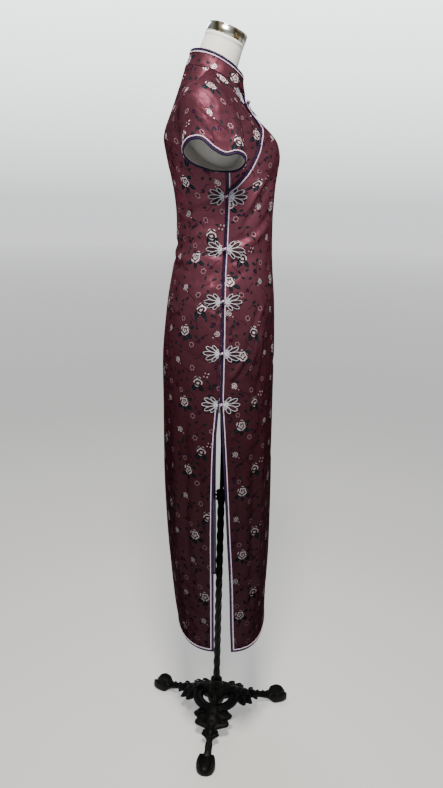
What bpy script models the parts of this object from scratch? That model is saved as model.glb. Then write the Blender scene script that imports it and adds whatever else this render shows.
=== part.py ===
"""Cheongsam dress worn on a limbless dress form with a twisted pole and a cast tripod.

Metres, +Z up. The garment's front faces -Y and its closed (wearer's right) side faces -X.
The tripod's feet stand on z = 0. Everything is shaped round the pole's axis and then moved, so
that the origin is the middle of the whole object's footprint.
"""

import math
from collections import namedtuple

import bmesh
import bpy
import numpy as np
from mathutils import Matrix, Vector

# ---------------------------------------------------------------- driving dimensions
MILLIMETRE = 0.001
SEAM_GAP = 0.3 * MILLIMETRE
CLOTH_WALL = 1.5 * MILLIMETRE
COLLAR_WALL = 2.2 * MILLIMETRE
LINING_WALL = 1.0 * MILLIMETRE

HEM_HEIGHT = 0.322
SLIT_HEIGHT = 0.935
UNDERARM_HEIGHT = 1.395
SHOULDER_HEIGHT = 1.553
CLOSURE_HEIGHT = 1.350
ARMHOLE_RISE = SHOULDER_HEIGHT - UNDERARM_HEIGHT

BINDING_WIDTH = 5.0 * MILLIMETRE
BINDING_LIFT = 0.6 * MILLIMETRE
PIPING_WIDTH = 3.4 * MILLIMETRE
PIPING_HEIGHT = 0.9 * MILLIMETRE
PIPING_START = 0.2 * MILLIMETRE
TAPER_LENGTH = 0.003
CLOSURE_MITRE = 0.8 * MILLIMETRE
EDGE_INSET = BINDING_WIDTH + 1.5 * SEAM_GAP

POLE_BEHIND_ORIGIN = 0.0113

FRONT = -1
BACK = 1

# Level sections of the dress: the side's half width, the centre front, the centre back and the
# side seam; below the slit's top each half's edge parts from the seam by the parting, and
# back_square says how much fuller than an ellipse the back's corners are.
Section = namedtuple("Section", "height half_width front seam back front_parting back_parting back_square")
SECTIONS = (
    Section(0.322, 0.177, -0.1165, 0.009, 0.1000, 0.0400, -0.0010, 0.035),
    Section(0.380, 0.177, -0.1165, 0.009, 0.1105, 0.0365, 0.0005, 0.035),
    Section(0.490, 0.178, -0.1180, 0.009, 0.1230, 0.0315, 0.0030, 0.035),
    Section(0.610, 0.178, -0.1175, 0.009, 0.1320, 0.0230, 0.0060, 0.035),
    Section(0.720, 0.178, -0.1165, 0.009, 0.1380, 0.0155, 0.0070, 0.035),
    Section(0.840, 0.178, -0.1150, 0.009, 0.1405, 0.0070, 0.0055, 0.035),
    Section(0.935, 0.176, -0.1135, 0.009, 0.1405, 0.0000, 0.0000, 0.035),
    Section(1.040, 0.168, -0.1120, 0.009, 0.1390, 0.0, 0.0, 0.035),
    Section(1.130, 0.153, -0.1075, 0.010, 0.1310, 0.0, 0.0, 0.035),
    Section(1.200, 0.140, -0.1010, 0.010, 0.1200, 0.0, 0.0, 0.035),
    Section(1.260, 0.134, -0.0980, 0.008, 0.1140, 0.0, 0.0, 0.035),
    Section(1.320, 0.138, -0.0980, 0.007, 0.1155, 0.0, 0.0, 0.040),
    Section(1.360, 0.144, -0.0995, 0.007, 0.1215, 0.0, 0.0, 0.050),
    Section(1.395, 0.151, -0.1010, 0.009, 0.1295, 0.0, 0.0, 0.065),
    Section(1.430, 0.159, -0.1005, 0.015, 0.1350, 0.0, 0.0, 0.090),
    Section(1.465, 0.165, -0.0925, 0.023, 0.1380, 0.0, 0.0, 0.115),
    Section(1.500, 0.169, -0.0690, 0.034, 0.1370, 0.0, 0.0, 0.125),
    Section(1.530, 0.169, -0.0460, 0.046, 0.1330, 0.0, 0.0, 0.110),
    Section(1.553, 0.166, -0.0270, 0.055, 0.1270, 0.0, 0.0, 0.080),
)
FRONT_SQUARE = 0.035

# Fullness that the darts give: each swelling is a pair, left and right of the centre.
Swelling = namedtuple("Swelling", "side across height reach_across reach_up amount")
SWELLINGS = (
    Swelling(FRONT, 0.078, 1.425, 0.042, 0.050, 0.0110),
    Swelling(BACK, 0.072, 1.470, 0.050, 0.060, 0.0040),
    Swelling(BACK, 0.075, 0.985, 0.060, 0.080, 0.0040),
)

# The largest soft folds: from one place to another (share of the width, height).
Fold = namedtuple("Fold", "side share_a height_a share_b height_b reach depth")
FOLDS = (
    Fold(FRONT, 0.30, 1.390, 0.16, 1.290, 0.020, 0.0030),
    Fold(FRONT, 0.70, 1.385, 0.83, 1.285, 0.020, 0.0030),
    Fold(FRONT, 0.34, 1.080, 0.22, 0.960, 0.022, 0.0030),
    Fold(FRONT, 0.66, 1.070, 0.79, 0.950, 0.022, 0.0030),
    Fold(FRONT, 0.36, 0.760, 0.33, 0.420, 0.026, 0.0035),
    Fold(FRONT, 0.67, 0.740, 0.70, 0.400, 0.026, 0.0035),
    Fold(BACK, 0.22, 1.260, 0.42, 1.225, 0.022, 0.0030),
    Fold(BACK, 0.78, 1.260, 0.58, 1.225, 0.022, 0.0030),
    Fold(BACK, 0.30, 0.760, 0.34, 0.420, 0.026, 0.0035),
    Fold(BACK, 0.70, 0.780, 0.67, 0.440, 0.026, 0.0035),
)

# Neck seam: a leaning ring round the neck, and the collar's top edge above it.
Ring = namedtuple("Ring", "half_width centre_y half_depth front_height slope side_rise")
NECK_RING = Ring(0.062, 0.036, 0.063, 1.555, 0.381, 0.008)
COLLAR_RING = Ring(0.0545, 0.0320, 0.0555, 1.589, 0.420, 0.010)
SHOULDER_SHARE = 0.50
NECK_POINT_ANGLE = math.radians(96.4)
ARMHOLE_FRONT_REACH = 0.053
ARMHOLE_BACK_REACH = 0.0675
ARMHOLE_MIDDLE = (0.009, 0.055)
SHOULDER_BLEND_START = 0.35
SHOULDER_BLEND_POWER = 1.7

# Overlap of the front: share of the front's width at each height above the underarm.
Overlap = namedtuple("Overlap", "rise share")
OVERLAP = (
    Overlap(-0.0450, 0.000),
    Overlap(-0.0390, 0.010),
    Overlap(-0.0300, 0.044),
    Overlap(-0.0160, 0.087),
    Overlap(0.0000, 0.103),
    Overlap(0.0350, 0.097),
    Overlap(0.0680, 0.144),
    Overlap(0.0920, 0.246),
    Overlap(0.1100, 0.318),
    Overlap(0.1280, 0.385),
    Overlap(0.1430, 0.440),
    Overlap(0.1580, 0.490),
)
CLOSURE_RISE = CLOSURE_HEIGHT - UNDERARM_HEIGHT
UNDERLAY_DEPTH = 3.4 * MILLIMETRE
UNDERLAY_RAMP = 0.070
UNDERLAY_LEAD = 1.35
UNDERLAY_TUCK = 0.045
UNDERLAY_START = -0.062

# Sleeve opening: position round it is 0 underneath, 0.25 in front, 0.5 outside, 0.75 behind.
OpeningPoint = namedtuple("OpeningPoint", "turn height")
SLEEVE_OPENING = (
    OpeningPoint(0.000, 1.389),
    OpeningPoint(0.125, 1.391),
    OpeningPoint(0.250, 1.406),
    OpeningPoint(0.375, 1.418),
    OpeningPoint(0.450, 1.414),
    OpeningPoint(0.500, 1.423),
    OpeningPoint(0.560, 1.440),
    OpeningPoint(0.625, 1.441),
    OpeningPoint(0.750, 1.421),
    OpeningPoint(0.875, 1.402),
    OpeningPoint(1.000, 1.389),
)
OPENING_CENTRE_Y = 0.030
OPENING_HALF_DEPTH = 0.060
OPENING_CENTRE_X = 0.1985
OPENING_HALF_WIDTH = 0.0255
SLEEVE_HEAD_PULL = 0.055
SLEEVE_HEM_PULL = 0.045

# Frogs: knot heights on the side closure, and the fan of petals of each wing.
SIDE_FROG_HEIGHTS = (1.344, 1.239, 1.134, 1.029, 0.921)
CHEST_FROG_RISE = 0.129
Petal = namedtuple("Petal", "angle length")
PETALS = (Petal(-50, 21), Petal(-25, 30), Petal(0, 33), Petal(25, 30), Petal(50, 21))
PETAL_VALLEY = 0.84
PETAL_SHOULDER = 0.94
PETAL_SHOULDER_ANGLE = 7.5
WING_START = 5.4 * MILLIMETRE
WING_ROOT = 8.0 * MILLIMETRE
WING_HUB = 10.5 * MILLIMETRE
WING_THICKNESS = 2.0 * MILLIMETRE
KNOT_RADIUS = 4.6 * MILLIMETRE
KNOT_CLEARANCE = 0.6 * MILLIMETRE
SURFACE_CLEARANCE = 0.35 * MILLIMETRE

# Dress form and stand.
FORM_BOTTOM = 0.900
FormClearance = namedtuple("FormClearance", "height gap")
FORM_CLEARANCE = (
    FormClearance(0.900, 0.0070),
    FormClearance(1.020, 0.0070),
    FormClearance(1.240, 0.0100),
    FormClearance(1.360, 0.0080),
    FormClearance(1.430, 0.0075),
    FormClearance(1.500, 0.0060),
    FormClearance(1.535, 0.0030),
    FormClearance(1.553, 0.0012),
)
NECK_TILT = math.radians(19.0)
NECK_TOP = (0.0, 0.0165, 1.6600)
NECK_TOP_RADIUS = 0.0415
NECK_LOW_RADIUS = 0.0500
NECK_LENGTH = 0.150
CAP_RADIUS = 0.0425
CAP_HEIGHT = 0.0185
NECK_SIDES = 28

ROD_RADIUS = 0.0045
ROD_BOTTOM = 0.330
POLE_BOTTOM = 0.1163
POLE_TOP = 0.6280
POLE_HALF_FLAT = 0.0072
POLE_HALF_CORNER = 0.0090
POLE_BORE = 0.0053
POLE_EIGHTH_TURNS = 31
CLAMP_HEIGHT = 0.024
CLAMP_RADIUS = 0.0135
CLAMP_BORE = 0.0049
SCREW_RADIUS = 0.0030
SCREW_HEAD_RADIUS = 0.0085
SCREW_HEAD_LENGTH = 0.0090
SCREW_HEAD_START = 0.0180
SCREW_CHAMFER = 0.0010

HUB_PROFILE = ((0.0150, 0.1160), (0.0150, 0.1060), (0.0185, 0.1000), (0.0165, 0.0920),
               (0.0190, 0.0800), (0.0230, 0.0640), (0.0200, 0.0480))
LEG_YAW = math.radians(6.5)
# Leg sections along its run: distance from the axis, underside, top and half width.
LegSection = namedtuple("LegSection", "run underside top half_width")
LEG_SECTIONS = (
    LegSection(0.010, 0.0500, 0.0960, 0.0090),
    LegSection(0.028, 0.0490, 0.0880, 0.0110),
    LegSection(0.046, 0.0465, 0.0770, 0.0170),
    LegSection(0.054, 0.0450, 0.0720, 0.0450),
    LegSection(0.064, 0.0430, 0.0670, 0.0490),
    LegSection(0.072, 0.0415, 0.0630, 0.0400),
    LegSection(0.080, 0.0395, 0.0590, 0.0440),
    LegSection(0.089, 0.0370, 0.0540, 0.0400),
    LegSection(0.096, 0.0350, 0.0510, 0.0190),
    LegSection(0.103, 0.0325, 0.0480, 0.0140),
    LegSection(0.111, 0.0295, 0.0460, 0.0230),
    LegSection(0.121, 0.0255, 0.0410, 0.0105),
    LegSection(0.140, 0.0180, 0.0350, 0.0095),
    LegSection(0.158, 0.0080, 0.0300, 0.0105),
    LegSection(0.168, 0.0000, 0.0290, 0.0185),
    LegSection(0.182, 0.0000, 0.0290, 0.0230),
    LegSection(0.198, 0.0000, 0.0265, 0.0225),
    LegSection(0.208, 0.0000, 0.0200, 0.0165),
    LegSection(0.213, 0.0010, 0.0115, 0.0080),
)
BASE_RING_RADIUS = 0.055
BASE_RING_THICKNESS = 0.0060
BASE_RING_HEIGHT = 0.0600

# Grid of the panels.
COLUMNS = 18
FORM_COLUMNS = 12
LOW_HEIGHTS = (0.395, 0.475, 0.555, 0.635, 0.715, 0.795, 0.860, 0.905, 0.931, 0.935, 0.985,
               1.035, 1.085, 1.130, 1.165, 1.200, 1.235, 1.270, 1.305, 1.335, 1.350, 1.361, 1.372,
               1.395)
HIGH_SHARES = (0.10, 0.22, 0.34, 0.46, 0.58, 0.69, 0.79, 0.88, 0.95, 1.00)
SLEEVE_AROUND = 26
SLEEVE_ALONG = 5

COLOURS = {
    "brocade": (0.27, 0.09, 0.12),
    "lining": (0.62, 0.58, 0.56),
    "binding": (0.035, 0.014, 0.055),
    "piping": (0.80, 0.68, 0.82),
    "cord": (0.62, 0.66, 0.72),
    "cover": (0.85, 0.84, 0.79),
    "cap": (0.62, 0.57, 0.46),
    "iron": (0.012, 0.012, 0.013),
}


# ---------------------------------------------------------------- scene and materials
def clear_scene():
    """Remove whatever the scene starts with."""
    for existing in list(bpy.data.objects):
        bpy.data.objects.remove(existing, do_unlink=True)


def new_collection(name):
    collection = bpy.data.collections.new(name)
    bpy.context.scene.collection.children.link(collection)
    return collection


def principled(name, colour, roughness, metallic=0.0):
    """A Principled material of one colour."""
    material = bpy.data.materials.new(name)
    material.use_nodes = True
    shader = material.node_tree.nodes["Principled BSDF"]
    shader.inputs["Base Color"].default_value = (*colour, 1.0)
    shader.inputs["Roughness"].default_value = roughness
    shader.inputs["Metallic"].default_value = metallic
    material.diffuse_color = (*colour, 1.0)
    return material


def add_object(name, mesh, collection, material):
    """Link a mesh as a smooth-shaded object with its own material."""
    obj = bpy.data.objects.new(name, mesh)
    collection.objects.link(obj)
    mesh.materials.append(material)
    mesh.shade_smooth()
    mesh.set_sharp_from_angle(angle=math.radians(40))
    return obj


# ---------------------------------------------------------------- curves and surfaces
def smooth_curve(knots, values):
    """A cubic curve through the given values, for numbers and arrays."""
    knots = np.asarray(knots, float)
    values = np.asarray(values, float)
    slopes = np.gradient(values, knots)

    def at(place):
        place = np.clip(place, knots[0], knots[-1])
        index = np.clip(np.searchsorted(knots, place, side="right") - 1, 0, len(knots) - 2)
        span = knots[index + 1] - knots[index]
        share = (place - knots[index]) / span
        start = (1 + 2 * share) * (1 - share) ** 2 * values[index]
        leave = share * (1 - share) ** 2 * span * slopes[index]
        end = share**2 * (3 - 2 * share) * values[index + 1]
        arrive = share**2 * (share - 1) * span * slopes[index + 1]
        return start + leave + end + arrive

    return at


def column_of(table, name):
    return [getattr(row, name) for row in table]


def table_curve(table, key, name):
    return smooth_curve(column_of(table, key), column_of(table, name))


HALF_WIDTH = table_curve(SECTIONS, "height", "half_width")
CENTRE_LINE = {
    FRONT: table_curve(SECTIONS, "height", "front"),
    BACK: table_curve(SECTIONS, "height", "back"),
}
SIDE_SEAM = table_curve(SECTIONS, "height", "seam")
PARTING = {
    FRONT: table_curve(SECTIONS, "height", "front_parting"),
    BACK: table_curve(SECTIONS, "height", "back_parting"),
}
BACK_SQUARE = table_curve(SECTIONS, "height", "back_square")
OVERLAP_SHARE = table_curve(OVERLAP, "rise", "share")
OPENING_HEIGHT = table_curve(SLEEVE_OPENING, "turn", "height")
FORM_GAP = table_curve(FORM_CLEARANCE, "height", "gap")


def side_edge(side, height):
    """Where a half of the dress ends at the side."""
    parting = np.where(height < SLIT_HEIGHT, PARTING[side](height), 0.0)
    return SIDE_SEAM(height) + side * parting


def ring_point(ring, angle):
    """A point of a leaning neck ring; angle 0 is the front and grows towards -X."""
    x = -ring.half_width * np.sin(angle)
    y = ring.centre_y - ring.half_depth * np.cos(angle)
    front_y = ring.centre_y - ring.half_depth
    z = ring.front_height + ring.slope * (y - front_y) + ring.side_rise * np.sin(angle) ** 2
    return np.stack([x, y, z], axis=-1)


def top_row(side, reach):
    """Neck and shoulder seam; reach is 0 at the centre and 1 at the shoulder's end (-X side)."""
    along_neck = np.clip(reach / SHOULDER_SHARE, 0, 1)
    start_angle = 0.0 if side == FRONT else math.pi
    neck = ring_point(NECK_RING, start_angle + (NECK_POINT_ANGLE - start_angle) * along_neck)
    neck_end = ring_point(NECK_RING, np.asarray(NECK_POINT_ANGLE))
    tip = np.array([-HALF_WIDTH(SHOULDER_HEIGHT), ARMHOLE_MIDDLE[1], SHOULDER_HEIGHT])
    along_shoulder = np.clip((reach - SHOULDER_SHARE) / (1 - SHOULDER_SHARE), 0, 1)[..., None]
    return neck + (tip - neck_end) * along_shoulder


def armhole_y(side, share):
    """Where the armhole's front or back edge lies, share 0 underneath and 1 at the shoulder."""
    low, high = ARMHOLE_MIDDLE
    reach = ARMHOLE_FRONT_REACH if side == FRONT else ARMHOLE_BACK_REACH
    bow = 2.0 * np.sqrt(np.clip(share * (1 - share), 0, 1))
    return low + (high - low) * share + side * reach * bow


def armhole_angle(side, up, height):
    """Angle round the level section at which the armhole cuts it."""
    edge, centre = side_edge(side, height), CENTRE_LINE[side](height)
    sine = np.clip((armhole_y(side, up) - edge) / (centre - edge), 0, 0.98)
    angle = np.arcsin(sine)
    for _ in range(3):
        square = FRONT_SQUARE if side == FRONT else BACK_SQUARE(height)
        angle = np.arcsin(sine / (1.0 + square * np.sin(2 * angle) ** 2))
    return np.where(up > 0, angle, 0.0)


def level_section(side, height, start_angle, inward):
    """A level section; inward is 0 at the side edge and 1 at the centre (-X half)."""
    angle = start_angle + (math.pi / 2 - start_angle) * inward
    square = FRONT_SQUARE if side == FRONT else BACK_SQUARE(height)
    fullness = 1.0 + square * np.sin(2 * angle) ** 2
    edge = side_edge(side, height)
    x = -HALF_WIDTH(height) * np.cos(angle) * fullness
    y = edge + (CENTRE_LINE[side](height) - edge) * np.sin(angle) * fullness
    return x, y


def fold_depth(side, share, height):
    """How far the soft folds sink the cloth at a place."""
    depth = np.zeros(np.broadcast(share, height).shape)
    width = 0.42
    for fold in FOLDS:
        if fold.side != side:
            continue
        run = ((fold.share_b - fold.share_a) * width, fold.height_b - fold.height_a)
        across, up = (share - fold.share_a) * width, height - fold.height_a
        length = run[0] ** 2 + run[1] ** 2
        along = np.clip((across * run[0] + up * run[1]) / length, 0, 1)
        distance = np.hypot(across - along * run[0], up - along * run[1])
        depth = depth + fold.depth * np.exp(-((distance / fold.reach) ** 2))
    return depth


def torso_point(side, share, rise):
    """Outer surface of a torso half.

    share runs 0 to 1 from the -X edge to the +X edge, rise is metres above the underarm.
    """
    share, rise = np.broadcast_arrays(np.asarray(share, float), np.asarray(rise, float))
    reach = np.abs(1 - 2 * share)
    up = np.clip(rise / ARMHOLE_RISE, 0, 1)
    height = UNDERARM_HEIGHT + rise
    start_angle = armhole_angle(side, up, height)
    x, y = level_section(side, height, start_angle, 1 - reach)
    edge_x, edge_y = level_section(side, height, start_angle, 0.0)
    blend = np.clip((up - SHOULDER_BLEND_START) / (1 - SHOULDER_BLEND_START), 0, 1)
    blend = blend**SHOULDER_BLEND_POWER
    top = top_row(side, reach)
    tip_x, tip_y = -HALF_WIDTH(SHOULDER_HEIGHT), ARMHOLE_MIDDLE[1]
    top_x = top[..., 0] + (edge_x - tip_x) * reach**2
    top_y = top[..., 1] + (edge_y - tip_y) * reach**2
    x = (1 - blend) * x + blend * top_x
    y = (1 - blend) * y + blend * top_y
    z = height + blend * (top[..., 2] - SHOULDER_HEIGHT)
    for swelling in SWELLINGS:
        if swelling.side == side:
            sideways = (np.abs(x) - swelling.across) / swelling.reach_across
            upward = (z - swelling.height) / swelling.reach_up
            y = y + side * swelling.amount * np.exp(-(sideways**2) - upward**2)
    x = np.where(share > 0.5, -x, x)
    inward = fold_depth(side, share, height) * np.clip(-rise / 0.02, 0, 1)
    radius = np.hypot(x, y)
    return np.stack([x * (1 - inward / radius), y * (1 - inward / radius), z], axis=-1)


def unit(vectors):
    return vectors / np.linalg.norm(vectors, axis=-1, keepdims=True)


def surface_normal(point, u, v, step=0.0008):
    """Unit normal of point(u, v), along the cross product of its u and v directions."""
    along_u = point(u + step, v) - point(u - step, v)
    along_v = point(u, v + step) - point(u, v - step)
    return unit(np.cross(along_u, along_v))


def torso_normal(side, share, rise):
    """Outward unit normal of a torso half, kept inside its own range."""
    share = np.clip(share, 0.002, 0.998)
    rise = np.clip(rise, HEM_HEIGHT - UNDERARM_HEIGHT, ARMHOLE_RISE - 0.002)
    normal = surface_normal(lambda u, v: torso_point(side, u, v), share, rise)
    return normal if side == FRONT else -normal


def torso_lifted(side, share, rise, lift):
    """A point above (or, below zero, under) the torso's outer surface."""
    share, rise = np.broadcast_arrays(np.asarray(share, float), np.asarray(rise, float))
    return torso_point(side, share, rise) + torso_normal(side, share, rise) * np.asarray(lift)[..., None]


# ---------------------------------------------------------------- solids from grids
def grid_solid(name, outer, inner, wrap=False):
    """A closed wall between an outer and an inner grid of points (rows, columns, 3)."""
    rows, columns = outer.shape[:2]
    count = rows * columns
    vertices = np.concatenate([outer.reshape(-1, 3), inner.reshape(-1, 3)])
    last = columns if wrap else columns - 1
    faces = []

    def index(row, column, layer):
        return layer * count + row * columns + column % columns

    for row in range(rows - 1):
        for column in range(last):
            corners = [(row, column), (row, column + 1), (row + 1, column + 1), (row + 1, column)]
            faces.append([index(r, c, 0) for r, c in corners])
            faces.append([index(r, c, 1) for r, c in (corners[0], corners[3], corners[2], corners[1])])
    for row, flip in ((0, False), (rows - 1, True)):
        for column in range(last):
            face = [index(row, column, 0), index(row, column, 1),
                    index(row, column + 1, 1), index(row, column + 1, 0)]
            faces.append(face[::-1] if flip else face)
    if not wrap:
        for column, flip in ((0, True), (columns - 1, False)):
            for row in range(rows - 1):
                face = [index(row, column, 0), index(row, column, 1),
                        index(row + 1, column, 1), index(row + 1, column, 0)]
                faces.append(face[::-1] if flip else face)
    return closed_mesh(name, vertices, faces)


def closed_mesh(name, vertices, faces):
    """A triangulated mesh whose faces all point outwards."""
    mesh = bpy.data.meshes.new(name)
    shape = bmesh.new()
    verts = [shape.verts.new(Vector(vertex)) for vertex in vertices]
    for face in faces:
        shape.faces.new([verts[i] for i in face])
    bmesh.ops.triangulate(shape, faces=shape.faces[:], quad_method="FIXED")
    bmesh.ops.recalc_face_normals(shape, faces=shape.faces[:])
    if shape.calc_volume(signed=True) < 0:
        bmesh.ops.reverse_faces(shape, faces=shape.faces[:])
    shape.to_mesh(mesh)
    shape.free()
    return mesh


def loft(name, rings):
    """A solid through rings with equal numbers of points, closed with flat ends."""
    sides = len(rings[0])
    vertices = [point for ring in rings for point in ring]
    faces = [list(range(sides))]
    faces.append([(len(rings) - 1) * sides + i for i in range(sides)])
    for k in range(len(rings) - 1):
        for i in range(sides):
            j = (i + 1) % sides
            faces.append([k * sides + i, k * sides + j, (k + 1) * sides + j, (k + 1) * sides + i])
    return closed_mesh(name, vertices, faces)


class Panel:
    """A grid of cloth points with its outward normals."""

    def __init__(self, points, normals, wrap=False):
        self.points = points
        self.normals = normals
        self.wrap = wrap

    def solid(self, name, lift=0.0, wall=CLOTH_WALL):
        """The cloth as a wall, its outer face lifted above the points."""
        outer = self.points + self.normals * lift
        return grid_solid(name, outer, outer - self.normals * wall, self.wrap)

    def neighbour(self, row, column, row_step, column_step):
        columns = self.points.shape[1]
        target = (column + column_step) % columns if self.wrap else column + column_step
        return unit(self.points[row + row_step, target] - self.points[row, column])

    def ladder(self, path, closed=False):
        """Places along an edge, and how a step of one metre square into the panel moves them.

        path lists (row, column, row_step, column_step); a corner has both steps.
        """
        places = np.array([self.points[row, column] for row, column, _, _ in path])
        normals = np.array([self.normals[row, column] for row, column, _, _ in path])
        inward = []
        for i, (row, column, row_step, column_step) in enumerate(path):
            if row_step and column_step:
                level = self.neighbour(row, column, 0, column_step)
                upward = self.neighbour(row, column, row_step, 0)
                inward.append((level + upward) / math.sqrt(1 - (level @ upward) ** 2))
                continue
            before = places[i - 1] if i or closed else places[i]
            after = places[(i + 1) % len(path)] if i + 1 < len(path) or closed else places[i]
            along = self.neighbour(row, column, row_step, column_step)
            square = unit(np.cross(normals[i], after - before))
            inward.append(along / abs(along @ square))
        return places, np.array(inward), normals


def strip(name, ladder, start, end, low, high, closed=False):
    """A flat strip beside a panel's edge, from start to end inwards and low to high outwards."""
    places, inward, normals = ladder
    start = np.broadcast_to(np.asarray(start, float), (len(places),))[:, None]
    end = np.broadcast_to(np.asarray(end, float), (len(places),))[:, None]
    first = places + inward * start
    second = places + inward * end
    outer = np.stack([first + normals * high, second + normals * high], axis=0)
    inner = np.stack([first + normals * low, second + normals * low], axis=0)
    return grid_solid(name, outer, inner, closed)


# ---------------------------------------------------------------- the dress
def row_rises(lowest):
    """Heights of a panel's rows, as metres above the underarm."""
    low = [height - UNDERARM_HEIGHT for height in LOW_HEIGHTS]
    high = [share * ARMHOLE_RISE for share in HIGH_SHARES]
    return np.array([rise for rise in [lowest] + low + high if rise >= lowest - 1e-9])


def share_step(side, share, rise, distance):
    """How much share a level distance takes at a place."""
    step = 0.001
    share = np.clip(share, step, 1 - step)
    span = torso_point(side, share + step, rise) - torso_point(side, share - step, rise)
    return distance * 2 * step / np.linalg.norm(span, axis=-1)


def overlap_inset(rises, distance):
    """Share that moves the overlap's edge squarely by a distance, along each row."""
    step = 0.002
    share = OVERLAP_SHARE(rises)
    place = torso_point(FRONT, share, rises)
    high = np.minimum(rises + step, ARMHOLE_RISE)
    low = np.maximum(rises - step, CLOSURE_RISE)
    along = torso_point(FRONT, OVERLAP_SHARE(high), high) - torso_point(FRONT, OVERLAP_SHARE(low), low)
    level = torso_point(FRONT, share + 0.002, rises) - place
    normal = torso_normal(FRONT, share, rises)
    above = rises > CLOSURE_RISE
    along = np.where(above[:, None], along, np.array([0.0, 0.0, 1.0]))
    square = unit(np.cross(normal, along))
    lean = np.clip(np.abs(np.sum(unit(level) * square, axis=-1)), 0.30, 1.0)
    mitre = np.where(np.isclose(rises, CLOSURE_RISE), CLOSURE_MITRE, 0.0)
    return share_step(FRONT, share, rises, distance / lean + mitre)


def taper(rises):
    """Grows from 0 at the slit's top to 1 a little below it."""
    return np.clip((SLIT_HEIGHT - UNDERARM_HEIGHT - rises) / TAPER_LENGTH, 0, 1)


def front_panel():
    """The whole front: its -X edge follows the overlap and then the side closure."""
    rises = row_rises(HEM_HEIGHT - UNDERARM_HEIGHT + EDGE_INSET)
    left = np.where(rises < CLOSURE_RISE, 0.0, OVERLAP_SHARE(rises)) + overlap_inset(rises, EDGE_INSET)
    seam = share_step(FRONT, 1.0, rises, SEAM_GAP / 2)
    right = 1.0 - np.maximum(seam, taper(rises) * share_step(FRONT, 1.0, rises, EDGE_INSET))
    right = np.where(rises > 0, 1.0, right)
    across = np.linspace(0, 1, COLUMNS + 1)
    shares = left[:, None] + (right - left)[:, None] * across
    levels = np.repeat(rises[:, None], COLUMNS + 1, axis=1)
    panel = Panel(torso_point(FRONT, shares, levels), torso_normal(FRONT, shares, levels))
    return square_shoulder(panel, FRONT, shares)


def back_panel():
    """The whole back, with the two slit edges below the seams."""
    rises = row_rises(HEM_HEIGHT - UNDERARM_HEIGHT + EDGE_INSET)
    margin = share_step(BACK, 0.0, rises, np.maximum(SEAM_GAP / 2, taper(rises) * EDGE_INSET))
    margin = np.where(rises > 0, 0.0, margin)
    across = np.linspace(0, 1, COLUMNS + 1)
    shares = margin[:, None] + (1 - 2 * margin)[:, None] * across
    levels = np.repeat(rises[:, None], COLUMNS + 1, axis=1)
    panel = Panel(torso_point(BACK, shares, levels), torso_normal(BACK, shares, levels))
    return square_shoulder(panel, BACK, shares)


def underlay_sink(share, rise):
    """How far the right-hand flap lies under the front."""
    edge = np.where(rise < CLOSURE_RISE, 0.0, OVERLAP_SHARE(rise))
    return UNDERLAY_DEPTH * np.clip((share - edge) / UNDERLAY_RAMP + UNDERLAY_LEAD, 0, 1)


def sunk_point(share, rise, lift):
    """A point above the right-hand flap."""
    return torso_lifted(FRONT, share, rise, lift - underlay_sink(share, rise))


def square_shoulder(panel, side, shares):
    """Part the shoulder seam evenly and let both walls meet it upright."""
    on_shoulder = np.abs(1 - 2 * shares[-1]) >= SHOULDER_SHARE - 0.001
    panel.points[-1, on_shoulder] += np.array([0, side * SEAM_GAP, 0])
    panel.normals[-1, on_shoulder] = np.array([0.0, 0.0, 1.0])
    return panel


def under_flap(columns=7):
    """The right-hand flap under the overlap, tucked a little way beneath the front."""
    rises = row_rises(UNDERLAY_START)
    edge = np.where(rises < CLOSURE_RISE, 0.0, OVERLAP_SHARE(rises))
    seam = np.where(rises > 0, 0.0, share_step(FRONT, 0.0, rises, SEAM_GAP / 2))
    tuck = np.maximum(edge + UNDERLAY_TUCK, 0.12)
    tuck = np.minimum(tuck, 0.52)
    across = np.linspace(0, 1, columns + 1)
    shares = seam[:, None] + (tuck - seam)[:, None] * across
    levels = np.repeat(rises[:, None], columns + 1, axis=1)
    panel = Panel(sunk_point(shares, levels, 0.0), torso_normal(FRONT, shares, levels))
    return square_shoulder(panel, FRONT, shares)


def collar_point(turn, up):
    """Outer surface of the stand collar; turn 0 to 1 runs from the front round by -X."""
    turn, up = np.broadcast_arrays(np.asarray(turn, float), np.asarray(up, float))
    angle = turn * 2 * math.pi
    low, high = ring_point(NECK_RING, angle), ring_point(COLLAR_RING, angle)
    low = low + np.array([0, 0, SEAM_GAP])
    bow = np.array([0.0, 0.0, 0.0]) + 0.0012 * np.sin(math.pi * up)[..., None]
    outward = unit(np.stack([low[..., 0], low[..., 1] - NECK_RING.centre_y, 0 * up], axis=-1))
    return low + (high - low) * up[..., None] - outward * bow


def collar_panel():
    """The collar as a grid, less the width of the binding at its free edges."""
    around, along = 32, 3
    inset = BINDING_WIDTH + SEAM_GAP
    girth, height = 2 * math.pi * 0.058, 0.034
    ends = (inset + SEAM_GAP) / girth
    turns = np.linspace(ends, 1 - ends, around + 1)
    ups = np.linspace(0.0, 1 - inset / height, along + 1)
    turn_grid, up_grid = np.meshgrid(turns, ups)
    points = collar_point(turn_grid, up_grid)
    angle = turn_grid * 2 * math.pi
    across, forward = NECK_RING.half_depth * np.sin(angle), NECK_RING.half_width * np.cos(angle)
    return Panel(points, unit(np.stack([-across, -forward, 0 * angle], axis=-1)))


def armhole_point(turn):
    """The armhole's loop on the -X side, turn 0 underneath and growing by the front."""
    turn = np.asarray(turn, float) % 1.0
    front = turn <= 0.5
    swing = np.where(front, turn * 2, 2 - turn * 2)
    share = (1 - np.cos(math.pi * swing)) / 2
    rise = share * ARMHOLE_RISE
    return np.where(front[..., None], torso_point(FRONT, 0.0, rise), torso_point(BACK, 0.0, rise))


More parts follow.
